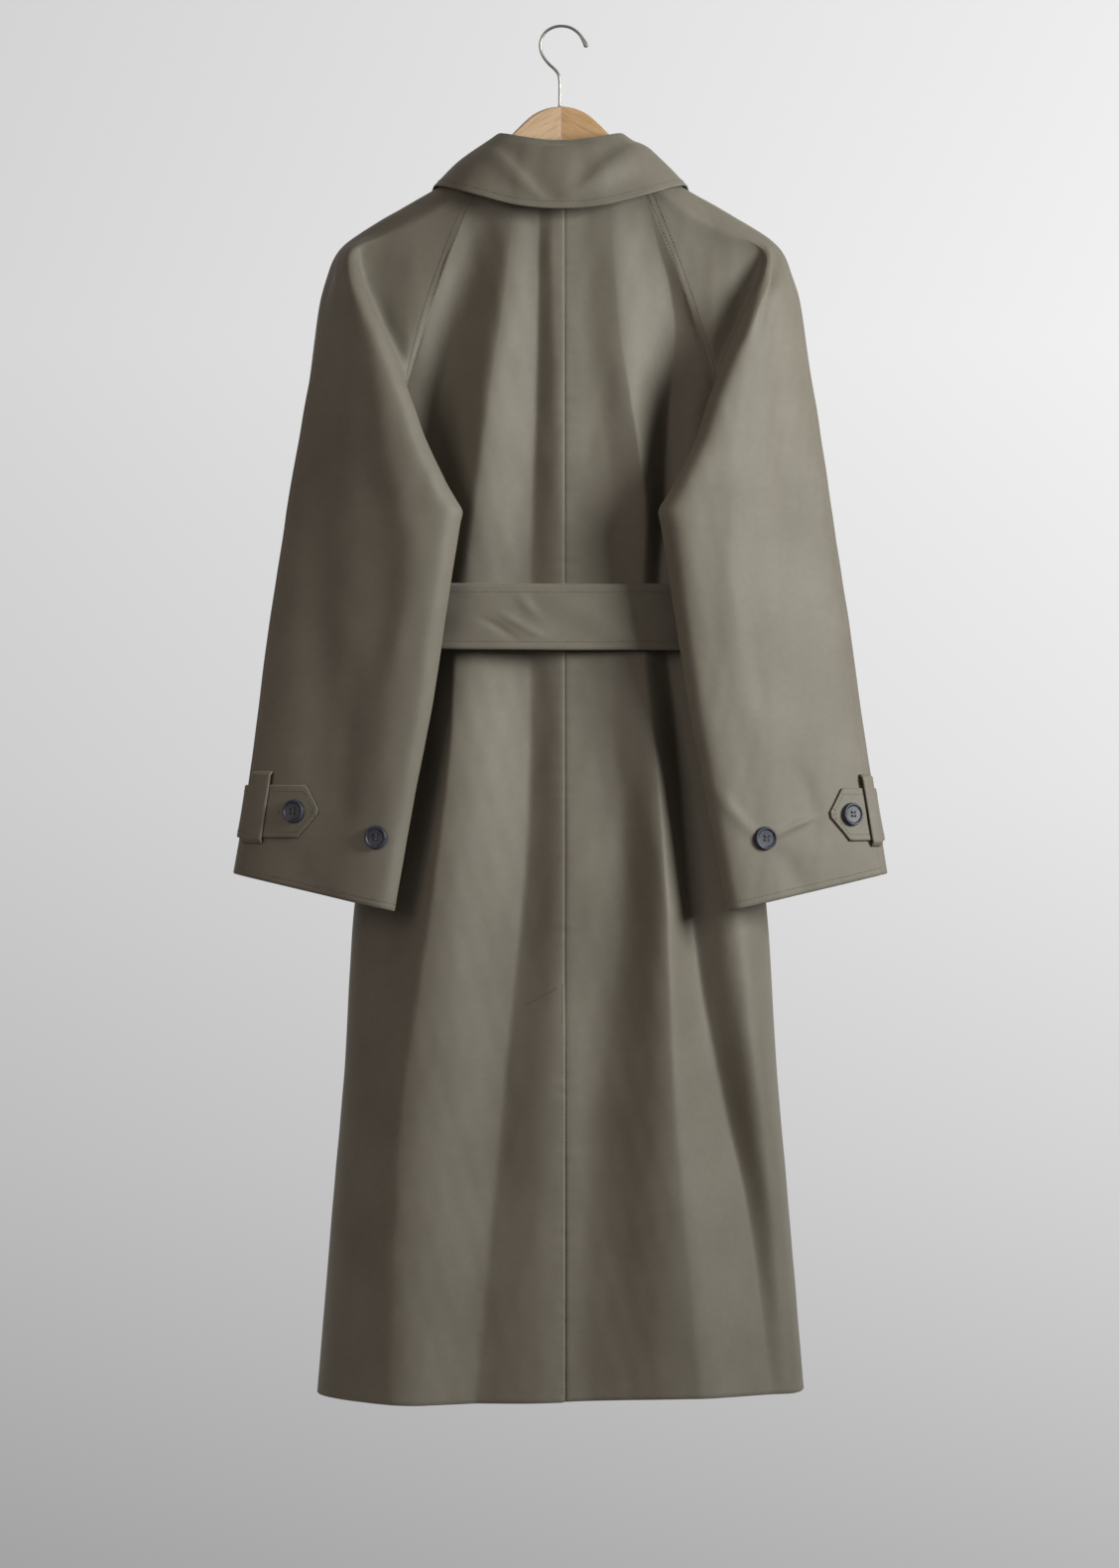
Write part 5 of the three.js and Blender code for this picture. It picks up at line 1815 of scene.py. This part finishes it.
@dataclass(frozen=True)
class Button:
    """A four-hole button with a raised rim, as heights over a disc."""

    radius: float = 11.2
    height: float = 3.6
    rim: float = 0.16
    hole: float = 1.1
    hole_depth: float = 1.6
    spread: float = 2.5
    facets: int = 96

    def build(
        self, name: str, place: Array, normal: Array, resin: bpy.types.Material,
        thread: bpy.types.Material,
    ) -> None:
        """Makes the button and the thread in its holes.

        The upper face is a height over radius and angle: a dished middle, a rounded rim, and a
        pit where the distance to one of four hole centres is under the hole's radius.

        Args:
            name: the node that it stands for.
            place: middle of its underside.
            normal: the way it faces.
            resin: its material.
            thread: the thread's material.
        """
        axis = unit(normal)
        across = unit(np.cross(axis, [0.0, 0.0, 1.0]))
        up = np.cross(across, axis)
        turn = (np.arange(self.facets) * 2 * math.pi / self.facets)[None, :]
        share = np.concatenate([np.linspace(0.02, 0.5, 26), np.linspace(0.53, 1, 18)])[:, None]
        x, z = share * self.radius * np.cos(turn), share * self.radius * np.sin(turn)
        bowl = 0.62 + 0.1 * share**2
        rim = 0.38 * np.exp(-(((share - 0.84) / self.rim * 1.5) ** 4))
        top = (bowl + rim - 0.75 * smooth(0.93, 1.0, share)) * self.height
        for angle in np.radians([45, 135, 225, 315]):
            away = np.hypot(x - self.spread * math.cos(angle), z - self.spread * math.sin(angle))
            top = top - self.hole_depth * smooth(self.hole, self.hole * 0.6, away)
        # The underside's rings: shares of the radius and of the height
        under = np.array([[0.98, 0.28], [0.9, 0.06], [0.7, 0.0], [0.3, 0.0]])[:, None, :]
        wide = under[..., 0] * self.radius
        low = np.stack([
            wide * np.cos(turn), wide * np.sin(turn), under[..., 1] * self.height + 0 * turn,
        ], -1)
        local = np.concatenate([np.stack([x, z, top], -1), low])
        world = place + local[..., :1] * across + local[..., 1:2] * up + local[..., 2:] * axis
        finish_piece(loft(f"{name}_resin", world), resin, "button", name)
        bars = []
        for sign in (-1, 1):
            t = np.linspace(-1, 1, 14)[:, None]
            line = sign * self.spread * 0.7 * up + t * self.spread * 0.72 * across
            hump = (0.72 + 0.18 * (1 - t**4)) * self.height - 0.5 * np.abs(t) ** 6
            around = np.arange(8) * math.pi / 4
            ring = 0.5 * (np.cos(around)[:, None] * up + np.sin(around)[:, None] * axis)
            bars.append(place + (line + hump * axis)[:, None, :] + ring[None])
        for k, bar in enumerate(bars):
            finish_piece(loft(f"{name}_thread_{k + 1}", bar), thread, "gabardine")


class CuffSpec(NamedTuple):
    """Where one cuff's strap, loop and buttons lie, as distances from the centre line."""

    z: float
    tip: float
    corner: float
    loop: float
    button: float
    spare: float
    spare_z: float


CUFFS = {
    Side.LEFT: CuffSpec(-750, 229, 244, 283, 250, 173, -774),
    Side.RIGHT: CuffSpec(-753, 255, 269, 295, 274, 192, -775),
}


@dataclass
class CuffFittings:
    """Strap, loop and buttons of one cuff."""

    form: SleeveForm
    side: Side
    strap_cloth: float = 2.0
    strap_lift: float = 0.8
    half: float = 24.0
    hidden_end: float = 9.25  # place round the section where the strap ends on the wall side
    hole_half: float = 0.9
    hole_reach: tuple[float, float] = (6.0, 17.0)
    loop_half: float = 5.5
    loop_turn: float = 0.2
    strap_flat: tuple[float, float] = (0.11, 0.048)
    loop_flat: tuple[float, float] = (0.018, 0.07)

    def strap(self) -> ClothPanel:
        """The strap: from the wall side round the outer edge to its pointed end.

        Returns:
            The panel.
        """
        spec = CUFFS[self.side]
        corner, tip = (self.form.round_at(self.side, x, spec.z) for x in (spec.corner, spec.tip))
        band = np.linspace(self.hidden_end, corner, 70)[:-1]
        s = np.concatenate([band, np.linspace(corner, tip, 22)])
        part = np.clip((s - corner) / (tip - corner), 0, 1)
        v = np.linspace(0, 1, 44)[:, None]
        half = self.half * mix(1.0, 0.1, part)
        z = spec.z + half[None, :] * (1 - 2 * v)
        grid, _ = self.form.cover(self.side, s, z, self.strap_lift + self.strap_cloth)
        name = f"cuff_strap_{self.side.word}_cloth"
        return ClothPanel(name, grid, self.side.value, self.strap_cloth)

    def loop(self) -> ClothPanel:
        """The loop: a narrow band that stands over the strap and is sewn down past it.

        Returns:
            The panel.
        """
        spec = CUFFS[self.side]
        low = self.form.round_at(self.side, spec.loop - self.loop_half, spec.z)
        high = self.form.round_at(self.side, spec.loop, spec.z) + self.loop_turn
        s = np.linspace(low, high, 14)
        v = np.linspace(0, 1, 60)[:, None]
        z = spec.z + 4 + (self.half + 10) * (1 - 2 * v) + 0 * s[None, :]
        over = (self.strap_cloth + 0.9) * smooth(1.0, 0.9, np.abs(1 - 2 * v))
        grid, _ = self.form.cover(self.side, s, z, self.strap_lift + self.strap_cloth + over)
        name = f"strap_loop_{self.side.word}_cloth"
        return ClothPanel(name, grid, -self.side.value, self.strap_cloth)

    def build(
        self, cloth: bpy.types.Material, resin: bpy.types.Material,
        thread: bpy.types.Material, book: StitchBook,
    ) -> None:
        """Makes the strap, the loop and both buttons, and sews the strap and its buttonhole.

        Args:
            cloth: the cloth's finish.
            resin: the buttons' finish.
            thread: the thread's finish.
            book: where the stitches go.
        """
        spec, word = CUFFS[self.side], self.side.word
        strap, loop = self.strap(), self.loop()
        for panel, node, flat in (
            (strap, "cuff_strap", self.strap_flat), (loop, "strap_loop", self.loop_flat),
        ):
            piece = panel.build()
            finish_piece(piece, cloth, "gabardine", f"{node}_{word}")
        for edge in ("top", "bottom", "right"):
            book.sew(strap.edge_path(edge, 5.0), 0.02, 0.98)
        for x, z, lift, name in (
            (spec.button, spec.z, self.strap_lift + self.strap_cloth + 0.9, f"cuff_button_{word}"),
            (spec.spare, spec.spare_z, 0.7, f"cuff_button_{word}_spare"),
        ):
            middle = self.form.round_at(self.side, x, z)
            near = middle + np.array([-0.2, 0.0, 0.2])
            place, normal = self.form.cover(self.side, near, np.full((3, 3), z), lift)
            Button().build(name, place[1, 1], normal[1, 1], resin, thread)
        for shift in (-self.hole_half, self.hole_half):
            ends = (
                (self.side.value * (spec.button + reach), spec.z + shift)
                for reach in self.hole_reach
            )
            book.sew(strap.line_path(*ends))


@dataclass
class FrontButtons:
    """Five buttons down the centre front."""

    form: CoatForm
    heights: tuple[float, ...] = (-300.0, -400.0, -500.0, -716.0, -826.0)

    def build(self, resin: bpy.types.Material, thread: bpy.types.Material) -> None:
        """Makes each button flat on the right front."""
        for number, z in enumerate(self.heights, start=1):
            place = np.array([0.0, float(self.form.front_y(0.0, z)) + 0.54, z])
            away = np.array([0.0, 1.0, 0.0])
            Button().build(f"front_button_{number}", place, away, resin, thread)


class ArmStation(NamedTuple):
    """Height of a hanger arm's upper and lower edge at a distance from the joint."""

    x: float
    top: float
    bottom: float
    y: float


ARM_STATIONS = (
    ArmStation(0.15, -76, -117, -4), ArmStation(14, -78.5, -119, -4),
    ArmStation(28, -85.5, -125, -4),
    ArmStation(47, -103.5, -141, -4), ArmStation(80, -137, -170, -5),
    ArmStation(115, -160, -191, -5),
    ArmStation(150, -181, -208, -5), ArmStation(182, -200, -222, -5),
    ArmStation(195, -209, -225, -5),
)


# The wire's middle line from the wood up and over the rail: x and z
HOOK_PATH = (
    (-0.8, -75.6), (-1.6, -46), (-4.6, -41), (-12.2, -33.6), (-17.2, -26.4), (-19.4, -18.9),
    (-18.4, -11),
    (-13.8, -3.8), (-6.2, 0.5), (1.5, 1.5), (9.8, -0.2), (17.0, -5.2), (22.0, -12.2), (25.2, -18.9),
)


@dataclass
class WoodenHanger:
    """Two jointed arms and the wire hook."""

    thick: float = 14.0
    edge: float = 4.0
    wire: float = 1.35
    tip_swell: float = 1.7

    def arm(self, side: Side) -> bpy.types.Object:
        """One arm: rounded rectangles between its upper and lower edge, along X.

        Args:
            side: which arm.

        Returns:
            The mesh object.
        """
        read = columns(ARM_STATIONS, "x")
        x = np.concatenate([[0.1, 0.15, 0.3, 0.6], np.linspace(1.2, 195, 150)])
        top, bottom, y = read["top"](x), read["bottom"](x), read["y"](x)
        turn = np.radians(np.linspace(0, 90, 7))
        corners = ((1, 1, 0), (-1, 1, 90), (-1, -1, 180), (1, -1, 270))
        ring = []
        end = smooth(195, 189, x)
        for dy, dz, start in corners:
            a = turn + math.radians(start)
            mid_y = y[:, None] + dy * (self.thick / 2 - self.edge) * mix(0.5, 1, end)[:, None]
            base = (top if dz > 0 else bottom)[:, None]
            mid_z = base - dz * self.edge
            ring.append(np.stack([
                np.broadcast_to(side.value * x[:, None], (len(x), len(a))),
                mid_y + self.edge * np.cos(a), mid_z + self.edge * np.sin(a),
            ], -1))
        return loft(f"hanger_arm_{side.word}_beech", np.concatenate(ring, 1))

    def hook(self) -> bpy.types.Object:
        """The wire: stem, jog and open circle, thicker at the tip, carried by rings of points.

        Returns:
            The mesh object.
        """
        flat = np.array(HOOK_PATH, float)
        path = np.stack([flat[:, 0], 0 * flat[:, 0], flat[:, 1]], -1)
        s = np.linspace(0, len(path) - 1.0001, 260)
        span = np.floor(s).astype(int)
        line = curve_points(np.repeat(path[:, None, None, :], len(s), axis=2), span, s - span)[0]
        along = unit(np.gradient(line, axis=0))
        across = np.stack([along[:, 2], 0 * along[:, 0], -along[:, 0]], -1)
        share = np.linspace(0, 1, len(line))
        swell = mix(1.0, self.tip_swell, smooth(0.85, 1.0, share))
        radius = self.wire * swell * mix(0.35, 1, smooth(1.0, 0.985, share))
        turn = np.arange(20) * 2 * math.pi / 20
        side = np.array([0.0, 1.0, 0.0])
        ring = np.cos(turn)[None, :, None] * across[:, None] + np.sin(turn)[None, :, None] * side
        return loft("hanger_hook_wire", line[:, None] + ring * radius[:, None, None])

    def build(self) -> None:
        """Makes the arms, each of its own plank, and the hook."""
        left = HangerWood("beech_planed_left", "#d4b899", "#cbae8f", "#bc9b78", -32.0).make()
        right = HangerWood("beech_planed_right", "#bd9a74", "#b4916a", "#a47f58", 32.0).make()
        finish_piece(self.arm(Side.LEFT), left, "hanger_wood", "hanger_arm_left")
        finish_piece(self.arm(Side.RIGHT), right, "hanger_wood", "hanger_arm_right")
        finish_piece(self.hook(), HookWire().make(), "hook_wire", "hanger_hook")


# Studio


class SoftBox(NamedTuple):
    """A square area light: place and aim in metres, side, watts, tint and beam in degrees."""

    name: str
    place: tuple[float, float, float]
    aim: tuple[float, float, float]
    size: float
    power: float
    tint: str
    spread: float


SOFT_BOXES = (
    SoftBox("key", (2.1, -1.25, 0.05), (0.0, 0.0, -0.5), 1.0, 17.5, "#fbfdf9", 75),
    SoftBox("fill", (-2.2, -3.0, 0.3), (0.0, 0.0, -0.6), 1.6, 30, "#fff3e8", 180),
)
# The world's colours by height, from below to above the camera's level
WALL = (
    (0.0, "#6f6f70"), (0.36, "#a6a6a6"), (0.44, "#cacaca"), (0.5, "#dcdcdc"), (0.57, "#e6e6e6"),
    (1.0, "#c9c9ca"),
)
ROOM = ((0.0, "#302e2c"), (0.4, "#504c49"), (0.6, "#6a6561"), (1.0, "#78736e"))


@dataclass(frozen=True)
class Studio:
    """Camera, lights, world and floor."""

    distance: float = 5.0
    centre_x: float = -0.001
    eye_z: float = -0.724
    view_height: float = 1.501
    sensor: float = 36.0
    floor_z: float = -1.86
    floor_radius: float = 1400.0
    floor_thick: float = 12.0

    def camera(self) -> None:
        """A long lens square to the coat's back, framing the picture's full height."""
        data = bpy.data.cameras.new("camera")
        data.sensor_width = self.sensor
        data.lens = self.sensor * self.distance / self.view_height
        data.clip_end = 50.0
        camera = bpy.data.objects.new("camera", data)
        camera.location = (self.centre_x, -self.distance, self.eye_z)
        camera.rotation_euler = (math.radians(90), 0.0, 0.0)
        bpy.context.scene.collection.objects.link(camera)
        bpy.context.scene.camera = camera

    def lamp(self, box: SoftBox) -> None:
        """Sets up one light, turned to its aim.

        Args:
            box: the light's sizes.
        """
        data = bpy.data.lights.new(box.name, "AREA")
        data.size = box.size
        data.energy = box.power
        data.spread = math.radians(box.spread)
        data.color = linear(box.tint)[:3]
        lamp = bpy.data.objects.new(box.name, data)
        lamp.location = box.place
        aim = Vector(box.aim) - Vector(box.place)
        lamp.rotation_euler = aim.to_track_quat("-Z", "Y").to_euler()
        bpy.context.scene.collection.objects.link(lamp)

    def world(self) -> None:
        """A pale wall behind the coat, lighter to the right, and a dim room on the other sides."""
        world = bpy.data.worlds.new("studio")
        world.use_nodes = True
        tree = world.node_tree
        place = add_node(tree, "TexCoord").outputs["Generated"]
        parts = add_node(tree, "SeparateXYZ", None, Vector=place).outputs
        level = add_node(tree, "MapRange", None, Value=parts["Z"], From_Min=-0.6,
                         From_Max=0.6).outputs["Result"]
        side = add_node(tree, "MapRange", None, Value=parts["X"], From_Min=-0.12,
                        From_Max=0.12, To_Min=0.84, To_Max=1.13).outputs["Result"]
        lit = add_node(tree, "VectorMath", {"operation": "SCALE"}, _0=ramp(tree, level, WALL),
                       Scale=side).outputs["Vector"]
        behind = add_node(tree, "MapRange", None, Value=parts["Y"], From_Min=0.3,
                          From_Max=0.8).outputs["Result"]
        both = add_node(tree, "Mix", {"data_type": "RGBA"}, _0=behind, _6=ramp(tree, level, ROOM),
                        _7=lit)
        plug(tree, tree.nodes["Background"], Color=both.outputs[2], Strength=1.0)
        bpy.context.scene.world = world

    def floor(self) -> None:
        """A round pale floor under the coat."""
        turn = np.arange(64) * 2 * math.pi / 64
        ring = self.floor_radius * np.stack([np.cos(turn), np.sin(turn), 0 * turn], -1)
        rim = ring + np.array([0, 0, self.floor_z / MM])
        floor = loft("floor", np.stack([rim, rim - np.array([0, 0, self.floor_thick])]))
        material, tree, shader = new_material("floor_plaster")
        plug(tree, shader, Base_Color=linear("#dcdcdc"), Roughness=0.8)
        floor.data.materials.append(material)

    def build(self) -> None:
        """Sets up the lights, the world and the floor."""
        for box in SOFT_BOXES:
            self.lamp(box)
        self.world()
        self.floor()


def main() -> None:
    """Builds every piece in order."""
    logging.basicConfig(level=logging.INFO, format="%(message)s")
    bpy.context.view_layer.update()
    bpy.context.scene.view_settings.view_transform = "Standard"
    studio = Studio()
    studio.camera()
    cloth, thread, resin = Gabardine().make(), SewingThread().make(), ButtonResin().make()
    form = CoatForm()
    sleeves = SleeveForm(form)
    book = StitchBook("topstitching")
    CoatBack(form).build(cloth, book)
    CoatFront(form).build(cloth, book)
    for side in Side:
        RaglanSleeve(sleeves, side).build(cloth, book)
        CuffFittings(sleeves, side).build(cloth, resin, thread, book)
    RolledCollar(form).build(cloth, book)
    WaistBelt(form).build(cloth, book)
    FrontButtons(form).build(resin, thread)
    WoodenHanger().build()
    book.build(thread)
    studio.build()


if __name__ == "__main__":
    main()
